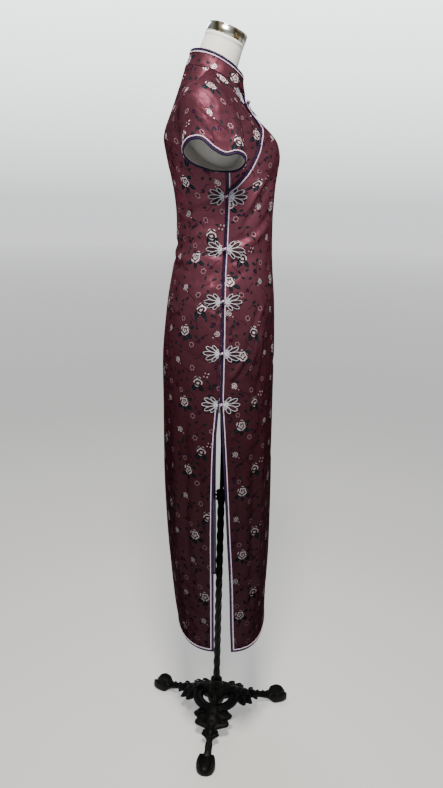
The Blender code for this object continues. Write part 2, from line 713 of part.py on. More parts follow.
def sleeve_point(turn, along):
    """Outer surface of the right sleeve; along is 0 at the armhole and 1 at the hem."""
    turn, along = np.broadcast_arrays(np.asarray(turn, float), np.asarray(along, float))
    start = armhole_point(turn) + np.array([-1.5 * SEAM_GAP, 0, SEAM_GAP])
    angle = (turn % 1.0) * 2 * math.pi
    x = -OPENING_CENTRE_X + OPENING_HALF_WIDTH * np.cos(angle)
    y = OPENING_CENTRE_Y - OPENING_HALF_DEPTH * np.sin(angle)
    end = np.stack([x, y, OPENING_HEIGHT(turn % 1.0)], axis=-1)
    outside = (1 - np.cos(angle))[..., None] / 2
    leave = np.array([-1.0, 0, -0.15]) * (SLEEVE_HEAD_PULL * outside)
    leave = leave + (end - start) / 3 * (1 - outside)
    arrive = np.array([-0.18, 0, -1.0]) * (SLEEVE_HEM_PULL * outside)
    arrive = arrive + (end - start) / 3 * (1 - outside)
    t = along[..., None]
    blend = (1 - t) ** 3 * start + 3 * (1 - t) ** 2 * t * (start + leave)
    return blend + 3 * (1 - t) * t**2 * (end - arrive) + t**3 * end


def sleeve_grid(mirror):
    """The sleeve's grid and outward normals, mirrored for the other side."""
    turns = np.arange(SLEEVE_AROUND) / SLEEVE_AROUND
    inset = (BINDING_WIDTH + SEAM_GAP) / 0.11
    alongs = np.linspace(0.0, 1 - inset, SLEEVE_ALONG + 1)
    turn_grid, along_grid = np.meshgrid(turns, alongs)
    points = sleeve_point(turn_grid, along_grid)
    normals = surface_normal(sleeve_point, turn_grid, np.clip(along_grid, 0.01, 0.99))
    middle = points.mean(axis=1, keepdims=True)
    if np.sum(normals * (points - middle)) < 0:
        normals = -normals
    if mirror:
        points = points * np.array([-1, 1, 1])
        normals = normals * np.array([-1, 1, 1])
    return Panel(points, normals, wrap=True)


def edge_path(panel, top_rows):
    """Edge places down a panel's -X side, along its hem and up its +X side.

    top_rows are the rows at which the two sides' trims start and end.
    """
    columns = panel.points.shape[1]
    left_top, right_top = top_rows
    path = [(row, 0, 0, 1) for row in range(left_top, 0, -1)]
    path.append((0, 0, 1, 1))
    path += [(0, column, 1, 0) for column in range(1, columns - 1)]
    path.append((0, columns - 1, 1, -1))
    path += [(row, columns - 1, 0, -1) for row in range(1, right_top + 1)]
    return path


def trims(prefix, ladder, collection, materials, closed=False, rest=SEAM_GAP):
    """The dark binding round an edge and the pale piping just inside it."""
    outer_edge = -(SEAM_GAP + BINDING_WIDTH)
    low = -(CLOTH_WALL + BINDING_LIFT)
    binding = strip(f"{prefix}_binding", ladder, outer_edge, -SEAM_GAP, low, BINDING_LIFT, closed)
    add_object(f"{prefix}_binding", binding, collection, materials["binding"])
    piping = strip(f"{prefix}_piping", ladder, PIPING_START, PIPING_START + PIPING_WIDTH,
                   rest, rest + PIPING_HEIGHT, closed)
    add_object(f"{prefix}_piping", piping, collection, materials["piping"])


def laid_trims(prefix, ladder, collection, materials):
    """Binding and piping that both lie on the cloth, side by side from its edge."""
    low, high = SEAM_GAP, SEAM_GAP + PIPING_HEIGHT
    start = 2 * SEAM_GAP
    end = start + BINDING_WIDTH
    binding = strip(f"{prefix}_binding", ladder, start, end, low, high)
    add_object(f"{prefix}_binding", binding, collection, materials["binding"])
    piping = strip(f"{prefix}_piping", ladder, end + SEAM_GAP, end + SEAM_GAP + PIPING_WIDTH, low, high)
    add_object(f"{prefix}_piping", piping, collection, materials["piping"])


def build_dress(collection, materials):
    """Panels, collar, sleeves and their two-tone trims."""
    cloth = materials["brocade"]
    front, back, flap = front_panel(), back_panel(), under_flap()
    add_object("front_panel", front.solid("front_panel"), collection, cloth)
    add_object("back_panel", back.solid("back_panel"), collection, cloth)
    add_object("under_flap", flap.solid("under_flap"), collection, cloth)

    rises = row_rises(HEM_HEIGHT - UNDERARM_HEIGHT + EDGE_INSET)
    slit_row = int(np.sum(rises < SLIT_HEIGHT - UNDERARM_HEIGHT - TAPER_LENGTH / 2)) - 1
    path = edge_path(front, (len(rises) - 1, slit_row))
    trims("front", front.ladder(path), collection, materials)
    path = edge_path(back, (slit_row, slit_row))
    trims("back", back.ladder(path), collection, materials)

    rows = [row for row in range(flap.points.shape[0] - 1)
            if CLOSURE_RISE + TAPER_LENGTH < row_rises(UNDERLAY_START)[row] <= 0.0]
    ladder = flap.ladder([(row, 0, 0, 1) for row in rows])
    laid_trims("under_flap", ladder, collection, materials)

    collar = collar_panel()
    add_object("collar", collar.solid("collar", wall=COLLAR_WALL), collection, cloth)
    rows, columns = collar.points.shape[:2]
    path = [(row, 0, 0, 1) for row in range(0, rows - 1)]
    path.append((rows - 1, 0, -1, 1))
    path += [(rows - 1, column, -1, 0) for column in range(1, columns - 1)]
    path.append((rows - 1, columns - 1, -1, -1))
    path += [(row, columns - 1, 0, -1) for row in range(rows - 2, -1, -1)]
    trims("collar", collar.ladder(path), collection, materials)

    for name, mirror in (("right", False), ("left", True)):
        sleeve = sleeve_grid(mirror)
        add_object(f"sleeve_{name}", sleeve.solid(f"sleeve_{name}"), collection, cloth)
        lining = sleeve.solid(f"sleeve_lining_{name}", -(CLOTH_WALL + SEAM_GAP), LINING_WALL)
        add_object(f"sleeve_lining_{name}", lining, collection, materials["lining"])
        hem = [(SLEEVE_ALONG, column, -1, 0) for column in range(SLEEVE_AROUND)]
        ladder = sleeve.ladder(hem, closed=True)
        trims(f"sleeve_{name}", ladder, collection, materials, closed=True, rest=3 * SEAM_GAP)


# ---------------------------------------------------------------- frogs
def wing_outline():
    """Outline of one fan-shaped wing: distance out from the knot, and distance up, in metres."""
    outline = [(WING_START, -WING_ROOT / 2), ]
    for number, petal in enumerate(PETALS):
        for turn, size in ((-PETAL_SHOULDER_ANGLE, PETAL_SHOULDER), (0, 1.0),
                           (PETAL_SHOULDER_ANGLE, PETAL_SHOULDER)):
            angle = math.radians(petal.angle + turn)
            radius = petal.length * MILLIMETRE * size
            outline.append((WING_START + radius * math.cos(angle), radius * math.sin(angle)))
        if number + 1 < len(PETALS):
            following = PETALS[number + 1]
            angle = math.radians((petal.angle + following.angle) / 2)
            radius = min(petal.length, following.length) * MILLIMETRE * PETAL_VALLEY
            outline.append((WING_START + radius * math.cos(angle), radius * math.sin(angle)))
    outline.append((WING_START, WING_ROOT / 2))
    return outline


def wing_solid(name, place_of, low):
    """A plate in the wing's outline, laid on a surface that place_of(out, up, lift) gives."""
    outline = wing_outline()
    hub = (WING_START + WING_HUB, 0.0)
    high = low + WING_THICKNESS
    bottom = [place_of(out, up, low) for out, up in outline]
    top = [place_of(out, up, high) for out, up in outline]
    vertices = bottom + top + [place_of(*hub, low), place_of(*hub, high)]
    count = len(outline)
    faces = []
    for i in range(count):
        j = (i + 1) % count
        faces.append([2 * count, j, i])
        faces.append([2 * count + 1, count + i, count + j])
        faces.append([i, j, count + j, count + i])
    return closed_mesh(name, vertices, faces)


def patch(side, share, rise, axis, shift, lay):
    """A function that puts (out, up, lift) on the cloth round one place, out along axis.

    shift is the knot's distance out from that place, and lay(share, rise, lift) gives points.
    """
    step = 0.0008
    origin = torso_point(side, share, rise)
    along_share = (torso_point(side, share + step, rise) - origin) / step
    above, below = torso_point(side, share, rise + step), torso_point(side, share, rise - step)
    along_rise = (above - below) / (2 * step)
    normal = torso_normal(side, share, rise)
    out_axis = unit(axis - normal * (axis @ normal))
    up_axis = np.cross(normal, out_axis)
    if up_axis[2] < 0:
        up_axis = -up_axis
    basis = np.stack([along_share, along_rise], axis=1)

    def place_of(out, up, lift):
        move = out_axis * (out + shift) + up_axis * up
        change = np.linalg.lstsq(basis, move, rcond=None)[0]
        return lay(share + change[0], rise + change[1], np.asarray(lift))

    return place_of


def knot_solid(name, centre):
    """The round knot button of a frog."""
    mesh = bpy.data.meshes.new(name)
    shape = bmesh.new()
    bmesh.ops.create_uvsphere(shape, u_segments=8, v_segments=5, radius=KNOT_RADIUS)
    bmesh.ops.translate(shape, verts=shape.verts[:], vec=Vector(centre))
    bmesh.ops.triangulate(shape, faces=shape.faces[:])
    shape.to_mesh(mesh)
    shape.free()
    return mesh


def build_frog(name, wings, knot_centre, collection, materials):
    """One frog: two wings and the knot between them. wings is [(side word, place_of, low)]."""
    for word, place_of, low in wings:
        solid = wing_solid(f"{name}_{word}_wing", place_of, low)
        add_object(f"{name}_{word}_wing", solid, collection, materials["cord"])
    knot = knot_solid(f"{name}_knot", knot_centre)
    add_object(f"{name}_knot", knot, collection, materials["binding"])


def build_frogs(collection, materials):
    """Five frogs down the side closure and one on the chest."""
    over_trim = SEAM_GAP + PIPING_HEIGHT + SEAM_GAP + SURFACE_CLEARANCE
    knot_lift = BINDING_LIFT + KNOT_CLEARANCE + KNOT_RADIUS
    middle = BINDING_WIDTH / 2

    def lay_front(share, rise, lift):
        return torso_lifted(FRONT, share, rise, lift)

    def lay_back(share, rise, lift):
        return torso_lifted(BACK, share, rise, lift)

    for number, height in enumerate(SIDE_FROG_HEIGHTS, start=1):
        rise = height - UNDERARM_HEIGHT
        share = 0.0008
        forward = torso_point(FRONT, 0.03, rise) - torso_point(FRONT, 0.0, rise)
        backward = torso_point(BACK, 0.03, rise) - torso_point(BACK, 0.0, rise)
        back_low = over_trim if height < SLIT_HEIGHT else 2 * SURFACE_CLEARANCE
        wings = [
            ("front", patch(FRONT, share, rise, forward, middle, lay_front), over_trim),
            ("back", patch(BACK, share, rise, backward, -middle, lay_back), back_low),
        ]
        knot_share = share_step(FRONT, 0.0, rise, middle)
        knot = torso_lifted(FRONT, knot_share, rise, np.asarray(knot_lift))
        build_frog(f"frog_side_{number}", wings, knot, collection, materials)

    rise = CHEST_FROG_RISE
    share = float(OVERLAP_SHARE(rise))
    edge = torso_point(FRONT, OVERLAP_SHARE(rise + 0.004), rise + 0.004)
    edge = edge - torso_point(FRONT, OVERLAP_SHARE(rise - 0.004), rise - 0.004)
    normal = torso_normal(FRONT, share, rise)
    square = unit(np.cross(edge, normal))
    if square[0] < 0:
        square = -square
    wings = [
        ("front", patch(FRONT, share, rise, square, middle, lay_front), over_trim),
        ("flap", patch(FRONT, share, rise, -square, -middle, sunk_point), 3 * SURFACE_CLEARANCE),
    ]
    knot = torso_point(FRONT, share, rise) + square * middle + normal * knot_lift
    build_frog("frog_chest", wings, knot, collection, materials)


# ---------------------------------------------------------------- dress form
def form_rings():
    """Rings of the form's torso, a little inside the dress and flat at the armholes."""
    heights = (FORM_BOTTOM, 0.985, 1.085, 1.165, 1.235, 1.305, 1.350, 1.395)
    rises = [height - UNDERARM_HEIGHT for height in heights]
    rises += [share * ARMHOLE_RISE for share in (0.10, 0.22, 0.34, 0.46, 0.58, 0.69, 0.79, 0.88, 0.95)]
    shares = np.linspace(0, 1, FORM_COLUMNS + 1)
    under_front = UNDERLAY_DEPTH + SEAM_GAP
    rings = []
    for rise in rises:
        depth = CLOTH_WALL + FORM_GAP(UNDERARM_HEIGHT + rise)
        levels = np.full(FORM_COLUMNS + 1, rise)
        fronts = torso_lifted(FRONT, shares, levels, 0 * levels - depth - under_front)
        backs = torso_lifted(BACK, shares, levels, 0 * levels - depth)
        rings.append([fronts, backs])
    return rings


def form_torso(collection, materials):
    """The covered torso, with its arm plates and the neck that rises through the collar."""
    rings = form_rings()
    columns = FORM_COLUMNS + 1
    around = 2 * columns
    vertices, faces = [], []
    for fronts, backs in rings:
        vertices += list(fronts) + list(backs[::-1])
    for k in range(len(rings) - 1):
        for i in range(around):
            j = (i + 1) % around
            faces.append([k * around + i, k * around + j, (k + 1) * around + j, (k + 1) * around + i])
    for k in (0, len(rings) - 1):
        for i in range(columns - 1):
            faces.append([k * around + i, k * around + i + 1,
                          k * around + around - 2 - i, k * around + around - 1 - i])
    torso = add_object("form_torso", closed_mesh("form_torso", vertices, faces), collection,
                       materials["cover"])
    base = Vector(NECK_TOP) - neck_axis() * NECK_LENGTH
    radii = (NECK_LOW_RADIUS, NECK_TOP_RADIUS)
    unite(torso, [tilted_cylinder("form_neck", base, NECK_LENGTH, radii, collection, materials["cover"])])
    top = Vector(NECK_TOP) + neck_axis() * SEAM_GAP
    tilted_cylinder("form_cap", top, CAP_HEIGHT, (CAP_RADIUS, CAP_RADIUS), collection, materials["cap"])


def neck_axis():
    """Direction of the form's neck: up and a little forward."""
    return Vector((0, -math.sin(NECK_TILT), math.cos(NECK_TILT)))


def tilted_cylinder(name, base, length, radii, collection, material):
    """A cylinder or cone along the neck's axis; radii are those of its lower and upper end."""
    solid = cylinder(name, radii, 0.0, length, NECK_SIDES, collection, material)
    solid.data.transform(Matrix.Translation(base) @ Matrix.Rotation(NECK_TILT, 4, "X"))
    return solid


def unite(target, others):
    """Join solids into one body."""
    for other in others:
        modifier = target.modifiers.new("join", "BOOLEAN")
        modifier.operation = "UNION"
        modifier.object = other
        apply_modifiers(target)
        bpy.data.objects.remove(other, do_unlink=True)


def apply_modifiers(obj):
    """Replace an object's mesh by its evaluated one."""
    evaluated = obj.evaluated_get(bpy.context.evaluated_depsgraph_get())
    mesh = bpy.data.meshes.new_from_object(evaluated)
    obj.modifiers.clear()
    obj.data = mesh


# ---------------------------------------------------------------- stand
def octagon(height, odd_radius, even_radius, eighths=0):
    """Eight points at a height, turned by a number of eighths of a turn."""
    ring = []
    for i in range(8):
        angle = math.pi / 4 * (i + eighths)
        radius = odd_radius if i % 2 else even_radius
        ring.append((radius * math.cos(angle), radius * math.sin(angle), height))
    return ring


def twisted_pole(collection, iron):
    """The twisted square bar of the pole, with the bore that the rod slides in."""
    steps = POLE_EIGHTH_TURNS
    rings = []
    for k in range(steps + 1):
        height = POLE_BOTTOM + (POLE_TOP - POLE_BOTTOM) * k / steps
        rings.append(octagon(height, POLE_HALF_CORNER, POLE_HALF_FLAT, k))
    bore = POLE_BORE / math.cos(math.pi / 8)
    low_bore = octagon(POLE_BOTTOM, bore, bore)
    high_bore = octagon(POLE_TOP, bore, bore, steps)
    vertices = [point for ring in rings + [high_bore, low_bore] for point in ring]
    rows = list(range(steps + 1)) + [steps + 1, steps + 2, 0]
    faces = []
    for row, following in zip(rows, rows[1:]):
        turn = steps if (row, following) == (steps + 1, steps + 2) else 0
        for i in range(8):
            j = (i + 1) % 8
            faces.append([row * 8 + i, row * 8 + j,
                          following * 8 + (j + turn) % 8, following * 8 + (i + turn) % 8])
    add_object("twisted_pole", closed_mesh("twisted_pole", vertices, faces), collection, iron)


def cylinder(name, radii, low, high, sides, collection, material):
    """An upright cylinder or cone; radii are those of its lower and upper end."""
    mesh = bpy.data.meshes.new(name)
    shape = bmesh.new()
    middle = Matrix.Translation((0, 0, (low + high) / 2))
    bmesh.ops.create_cone(shape, cap_ends=True, segments=sides, radius1=radii[0], radius2=radii[1],
                          depth=high - low, matrix=middle)
    shape.to_mesh(mesh)
    shape.free()
    return add_object(name, mesh, collection, material)


def turned(name, profile, sides, collection, material):
    """A solid turned about the Z axis; its profile runs down the outer side."""
    points = [(0.0, profile[0][1])] + list(profile) + [(0.0, profile[-1][1])]
    mesh = bpy.data.meshes.new(name)
    edges = [(i, i + 1) for i in range(len(points) - 1)]
    mesh.from_pydata([(radius, 0.0, height) for radius, height in points], edges, [])
    solid = add_object(name, mesh, collection, material)
    screw = solid.modifiers.new("turn", "SCREW")
    screw.steps = sides
    screw.render_steps = sides
    screw.use_merge_vertices = True
    screw.merge_threshold = 0.0001
    apply_modifiers(solid)
    return solid


def cut(target, cutter):
    """Cut one solid from another."""
    modifier = target.modifiers.new("cut", "BOOLEAN")
    modifier.operation = "DIFFERENCE"
    modifier.object = cutter
    apply_modifiers(target)
    bpy.data.objects.remove(cutter, do_unlink=True)


def build_clamp(collection, iron):
    """The clamp on top of the pole and its thumb screw, which presses on the rod."""
    low = POLE_TOP + SEAM_GAP
    high = low + CLAMP_HEIGHT
    clamp = cylinder("clamp", (CLAMP_RADIUS, CLAMP_RADIUS), low, high, 20, collection, iron)
    bore_radius = CLAMP_BORE / math.cos(math.pi / 16)
    cut(clamp, cylinder("clamp_bore", (bore_radius, bore_radius), low - CLAMP_HEIGHT,
                        high + CLAMP_HEIGHT, 16, collection, iron))
    across = Matrix.Translation((0, 0, (low + high) / 2)) @ Matrix.Rotation(-math.pi / 2, 4, "X")
    hole_radius = SCREW_RADIUS + 2 * SEAM_GAP
    hole = cylinder("screw_hole", (hole_radius, hole_radius), 0.0, 2 * CLAMP_RADIUS, 12, collection, iron)
    hole.data.transform(across)
    cut(clamp, hole)
    head_end = SCREW_HEAD_START + SCREW_HEAD_LENGTH
    profile = [(SCREW_HEAD_RADIUS - 2 * SCREW_CHAMFER, head_end),
               (SCREW_HEAD_RADIUS, head_end - SCREW_CHAMFER),
               (SCREW_HEAD_RADIUS, SCREW_HEAD_START + SCREW_CHAMFER),
               (SCREW_RADIUS, SCREW_HEAD_START),
               (SCREW_RADIUS, ROD_RADIUS + SEAM_GAP)]
    turned("clamp_screw", profile, 12, collection, iron).data.transform(across)


def build_stand(collection, iron):
    """Rod, twisted pole, clamp and cast tripod."""
    cylinder("rod", (ROD_RADIUS, ROD_RADIUS), ROD_BOTTOM, FORM_BOTTOM - SEAM_GAP, 12, collection, iron)
    twisted_pole(collection, iron)
    build_clamp(collection, iron)
    hub = turned("tripod", HUB_PROFILE, 14, collection, iron)
    parts = [leg_object(number, collection, iron) for number in range(3)]
    parts.append(base_ring(collection, iron))
    unite(hub, parts)


def leg_object(number, collection, material):
    """One leg of the tripod, as sections along its run."""
    direction = math.pi - LEG_YAW + number * 2 * math.pi / 3
    turn = Matrix.Rotation(direction, 4, "Z")
    rings = []
    for section in LEG_SECTIONS:
        thick = section.top - section.underside
        spine = section.half_width * 0.30
        outline = [
            (-section.half_width * 0.80, section.underside), (section.half_width * 0.80, section.underside),
            (section.half_width, section.underside + thick * 0.30),
            (section.half_width * 0.72, section.underside + thick * 0.60),
            (spine, section.top), (-spine, section.top),
            (-section.half_width * 0.72, section.underside + thick * 0.60),
            (-section.half_width, section.underside + thick * 0.30),
        ]
        rings.append([turn @ Vector((section.run, across, height)) for across, height in outline])
    return add_object(f"leg_{number}", loft(f"leg_{number}", rings), collection, material)


def base_ring(collection, material):
    """The ring that braces the three legs round the hub."""
    bpy.ops.mesh.primitive_torus_add(major_segments=18, minor_segments=5,
                                     major_radius=BASE_RING_RADIUS, minor_radius=BASE_RING_THICKNESS,
                                     location=(0, 0, BASE_RING_HEIGHT))
    ring = bpy.context.object
    ring.name = "base_ring"
    ring.data.materials.append(material)
    for linked in list(ring.users_collection):
        linked.objects.unlink(ring)
    collection.objects.link(ring)
    return ring


def place_in_frame(collection):
    """Move everything so that the origin is the middle of the footprint."""
    for solid in collection.objects:
        solid.data.transform(Matrix.Translation((0, POLE_BEHIND_ORIGIN, 0)))


def main():
    clear_scene()
    collection = new_collection("Cheongsam")
    roughness = {"brocade": 0.42, "lining": 0.5, "binding": 0.35, "piping": 0.4, "cord": 0.45,
                 "cover": 0.85, "cap": 0.3, "iron": 0.45}
    metallic = {"cap": 1.0, "iron": 0.6}
    materials = {name: principled(name, colour, roughness[name], metallic.get(name, 0.0))
                 for name, colour in COLOURS.items()}
    build_dress(collection, materials)
    build_frogs(collection, materials)
    form_torso(collection, materials)
    build_stand(collection, materials["iron"])
    place_in_frame(collection)


main()
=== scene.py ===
"""Cheongsam dress on a limbless dress form: the visible model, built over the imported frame.

Metres, +Z up; the garment's front faces -Y and its closed side (the wearer's right) faces -X.
Shapes are worked out round the pole's axis and then moved into the frame by POLE_BEHIND_ORIGIN.
"""
import logging
import math
from dataclasses import dataclass, field
from enum import Enum
from functools import partial
from typing import Callable, Optional, Sequence, Union

import bmesh
import bpy
import numpy as np
from bpy.types import Material, Mesh, Node, NodeSocket, NodeTree, Object
from mathutils import Matrix, Vector


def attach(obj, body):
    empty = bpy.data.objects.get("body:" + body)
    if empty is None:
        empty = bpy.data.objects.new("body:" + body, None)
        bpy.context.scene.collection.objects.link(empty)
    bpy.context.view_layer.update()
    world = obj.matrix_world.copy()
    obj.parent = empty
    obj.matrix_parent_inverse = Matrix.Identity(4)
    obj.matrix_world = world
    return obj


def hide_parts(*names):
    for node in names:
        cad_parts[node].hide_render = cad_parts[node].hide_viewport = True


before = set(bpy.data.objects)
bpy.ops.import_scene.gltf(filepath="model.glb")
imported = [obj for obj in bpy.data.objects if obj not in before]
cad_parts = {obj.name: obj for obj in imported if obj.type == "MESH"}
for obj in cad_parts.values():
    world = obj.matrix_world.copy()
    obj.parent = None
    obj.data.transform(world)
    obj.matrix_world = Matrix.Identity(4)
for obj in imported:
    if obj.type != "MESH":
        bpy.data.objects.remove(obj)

LOG = logging.getLogger("cheongsam")
Array = np.ndarray
Number = Union[float, Array]
Curve = Callable[[Number], Number]

MM = 0.001
SEAM_GAP = 0.3 * MM
POLE_BEHIND_ORIGIN = 0.0113
HEM_HEIGHT = 0.322
SLIT_HEIGHT = 0.935
UNDERARM_HEIGHT = 1.395
SHOULDER_HEIGHT = 1.553
CLOSURE_HEIGHT = 1.35
ARMHOLE_RISE = SHOULDER_HEIGHT - UNDERARM_HEIGHT
CLOSURE_RISE = CLOSURE_HEIGHT - UNDERARM_HEIGHT
HEM_RISE = HEM_HEIGHT - UNDERARM_HEIGHT
SLIT_RISE = SLIT_HEIGHT - UNDERARM_HEIGHT
CLOTH_WALL = 1.2 * MM
BINDING_WIDTH = 5.0 * MM
PIPING_WIDTH = 2.1 * MM
EDGE_INSET = BINDING_WIDTH + 1.5 * SEAM_GAP
SHOULDER_SHARE = 0.5


class Side(Enum):
    """The front and the back half of the dress, valued by their direction along Y."""

    FRONT = -1
    BACK = 1


class Body(Enum):
    """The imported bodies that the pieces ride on."""

    STAND = "stand"
    FORM = "form"
    SCREW = "clamp_screw"


# ---- sizes of the dress
@dataclass(frozen=True)
class Section:
    """A level section of the dress; the partings open the slit and back_square fills the back."""

    height: float
    half_width: float
    front: float
    seam: float
    back: float
    front_parting: float = 0.0
    back_parting: float = 0.0
    back_square: float = 0.035


SECTIONS = tuple(Section(*row) for row in (
    (0.322, 0.177, -0.1165, 0.009, 0.1, 0.04, -0.001),
    (0.38, 0.177, -0.1165, 0.009, 0.1105, 0.0365, 0.0005),
    (0.49, 0.178, -0.118, 0.009, 0.123, 0.0315, 0.003),
    (0.61, 0.178, -0.1175, 0.009, 0.132, 0.023, 0.006),
    (0.72, 0.178, -0.1165, 0.009, 0.138, 0.0155, 0.007),
    (0.84, 0.178, -0.115, 0.009, 0.1405, 0.007, 0.0055), (0.935, 0.176, -0.1135, 0.009, 0.1405),
    (1.04, 0.168, -0.112, 0.009, 0.139), (1.13, 0.153, -0.1075, 0.01, 0.131),
    (1.2, 0.14, -0.101, 0.01, 0.12), (1.26, 0.134, -0.098, 0.008, 0.114),
    (1.32, 0.138, -0.098, 0.007, 0.1155, 0, 0, 0.04), (1.36, 0.144, -0.0995, 0.007, 0.1215, 0, 0, 0.05),
    (1.395, 0.151, -0.101, 0.009, 0.1295, 0, 0, 0.065),
    (1.43, 0.159, -0.1005, 0.015, 0.135, 0, 0, 0.09),
    (1.465, 0.165, -0.0925, 0.023, 0.138, 0, 0, 0.115), (1.5, 0.169, -0.069, 0.034, 0.137, 0, 0, 0.125),
    (1.53, 0.169, -0.046, 0.046, 0.133, 0, 0, 0.11), (1.553, 0.166, -0.027, 0.055, 0.127, 0, 0, 0.08),
))
FRONT_SQUARE = 0.035
# How far the front's far edge hangs towards the back at the open slit, by height.
FAR_SLIT_CLOSING = ((0.322, 0.0), (0.38, 0.002), (0.49, 0.006), (0.61, 0.011), (0.72, 0.012),
                    (0.84, 0.007), (0.93, 0.0))


@dataclass(frozen=True)
class Swelling:
    """A pair of soft swellings that the darts give, left and right of the centre."""

    side: Side
    across: float
    height: float
    reach_across: float
    reach_up: float
    amount: float


SWELLINGS = (
    Swelling(Side.FRONT, 0.078, 1.425, 0.042, 0.05, 0.011),
    Swelling(Side.BACK, 0.072, 1.47, 0.05, 0.06, 0.004),
    Swelling(Side.BACK, 0.075, 0.985, 0.06, 0.08, 0.004),
)


@dataclass(frozen=True)
class Crease:
    """A soft trough (or, below zero, ridge) from one place to another; reach and depth in mm."""

    side: Side
    share_a: float
    height_a: float
    share_b: float
    height_b: float
    reach: float
    depth: float


def creases(side: Side, rows: Sequence[tuple]) -> tuple:
    """The creases of one side from rows of their other values."""
    return tuple(Crease(side, *row) for row in rows)


# The width that a half's shares stand for, and the reach from which a crease is an untapered fold.
CREASE_SPAN = 0.42
FOLD_REACH = 20
# The large folds, as the solids have them.
FOLDS = (creases(Side.FRONT, (
    (0.3, 1.39, 0.16, 1.29, 20, 3), (0.7, 1.385, 0.83, 1.285, 20, 3), (0.34, 1.08, 0.22, 0.96, 22, 3),
    (0.66, 1.07, 0.79, 0.95, 22, 3), (0.36, 0.76, 0.33, 0.42, 26, 3.5), (0.67, 0.74, 0.7, 0.4, 26, 3.5)))
    + creases(Side.BACK, (
    (0.22, 1.26, 0.42, 1.225, 22, 3), (0.78, 1.26, 0.58, 1.225, 22, 3), (0.3, 0.76, 0.34, 0.42, 26, 3.5),
    (0.7, 0.78, 0.67, 0.44, 26, 3.5))))
# The finer creases of the closed side, and then those of the middle of the front and back.
CLOSED_SIDE_CREASES = (creases(Side.FRONT, (
    (0.32, 1.388, 0.2, 1.335, 9.75, 5), (0.205, 1.335, 0.12, 1.285, 8.25, 5),
    (0.25, 1.38, 0.15, 1.325, 7.5, -6.1), (0.33, 1.316, 0.2, 1.272, 9, 5),
    (0.2, 1.27, 0.03, 1.254, 6.75, 4.6), (0.3, 1.287, 0.09, 1.236, 9.75, -6.5),
    (0.28, 1.232, 0.02, 1.214, 7.5, 3.2), (0.02, 1.175, 0.15, 1.2, 6.75, 2.8),
    (0.24, 1.102, 0.16, 1.022, 9.75, 5), (0.215, 1.048, 0.14, 0.988, 8.25, -6.5),
    (0.02, 1.066, 0.13, 1.088, 6.5, 2.8), (0.015, 0.974, 0.135, 0.962, 6.5, 3.7),
    (0.025, 0.929, 0.115, 0.906, 6.5, 3.6), (0.272, 0.832, 0.236, 0.47, 11.25, -6.5),
    (0.2, 0.82, 0.17, 0.44, 9.75, 4.7), (0.11, 0.78, 0.065, 0.52, 8.25, 3.2),
    (0.25, 1.122, 0.165, 1.032, 6.75, -5.4), (0.22, 1.118, 0.14, 1.034, 6.5, 3.8),
    (0.165, 1.032, 0.05, 0.972, 6.5, -4.6), (0.15, 1.008, 0.045, 0.95, 6.5, 3.6),
    (0.25, 1.071, 0.21, 0.97, 6.75, -4.9), (0.212, 0.965, 0.25, 0.876, 6.75, 3.8),
    (0.02, 0.912, 0.095, 0.906, 6.5, -3.8), (0.04, 0.843, 0.11, 0.864, 6.5, -4.1),
    (0.035, 0.733, 0.095, 0.746, 6.5, -3.5)))
    + creases(Side.BACK, (
    (0.03, 1.346, 0.165, 1.328, 6.75, 4.7), (0.16, 1.327, 0.33, 1.318, 9, 3.7),
    (0.045, 1.312, 0.27, 1.284, 7.5, 5), (0.06, 1.273, 0.255, 1.262, 9.75, -6.5),
    (0.02, 1.226, 0.15, 1.236, 6.5, 4.1), (0.15, 1.236, 0.34, 1.198, 9, 4.6),
    (0.03, 1.196, 0.21, 1.168, 7.5, 3.6), (0.06, 1.16, 0.3, 1.108, 11.25, -6.5),
    (0.02, 1.116, 0.17, 1.14, 6.75, 3.2), (0.03, 1.006, 0.185, 1.024, 6.75, 3.1),
    (0.022, 0.96, 0.125, 0.951, 6.5, 3.7), (0.18, 0.9, 0.16, 0.51, 9.75, 4.7),
    (0.25, 0.86, 0.232, 0.43, 12, -6.5), (0.09, 0.82, 0.068, 0.5, 7.5, 3.6),
    (0.118, 0.954, 0.028, 0.961, 6.5, -3.8), (0.124, 0.943, 0.03, 0.948, 6.5, 2.9),
    (0.34, 1.116, 0.22, 1.108, 8.25, -4.3), (0.44, 1.226, 0.205, 1.212, 7.5, -4.6),
    (0.42, 1.204, 0.195, 1.19, 6.75, 3.6), (0.32, 1.308, 0.18, 1.292, 6.75, -4.1))))
MIDDLE_CREASES = (creases(Side.FRONT, (
    (0.455, 1.31, 0.4, 1.252, 9, 2.4), (0.56, 1.298, 0.615, 1.24, 9.75, 2),
    (0.4, 0.99, 0.54, 0.976, 7.5, 1.9), (0.5, 0.74, 0.485, 0.43, 12, -3.1)))
    + creases(Side.BACK, (
    (0.4, 1.246, 0.605, 1.238, 8.25, 3.7), (0.43, 1.212, 0.575, 1.206, 6.75, 2.4),
    (0.47, 1.43, 0.42, 1.35, 10.5, 2.3), (0.54, 1.42, 0.59, 1.345, 9.75, 1.9),
    (0.51, 0.76, 0.5, 0.44, 12, -3.4))))
FAR_SIDE_CREASES = tuple(
    Crease(crease.side, 1 - crease.share_a, crease.height_a - 0.011, 1 - crease.share_b,
           crease.height_b + 0.006, crease.reach + 1, 0.85 * crease.depth)
    for crease in CLOSED_SIDE_CREASES)
CREASES = FOLDS + CLOSED_SIDE_CREASES + MIDDLE_CREASES + FAR_SIDE_CREASES


@dataclass(frozen=True)
class NeckRing:
    """A leaning ring round the neck."""

    half_width: float
    centre_y: float
    half_depth: float
    front_height: float
    slope: float
    side_rise: float


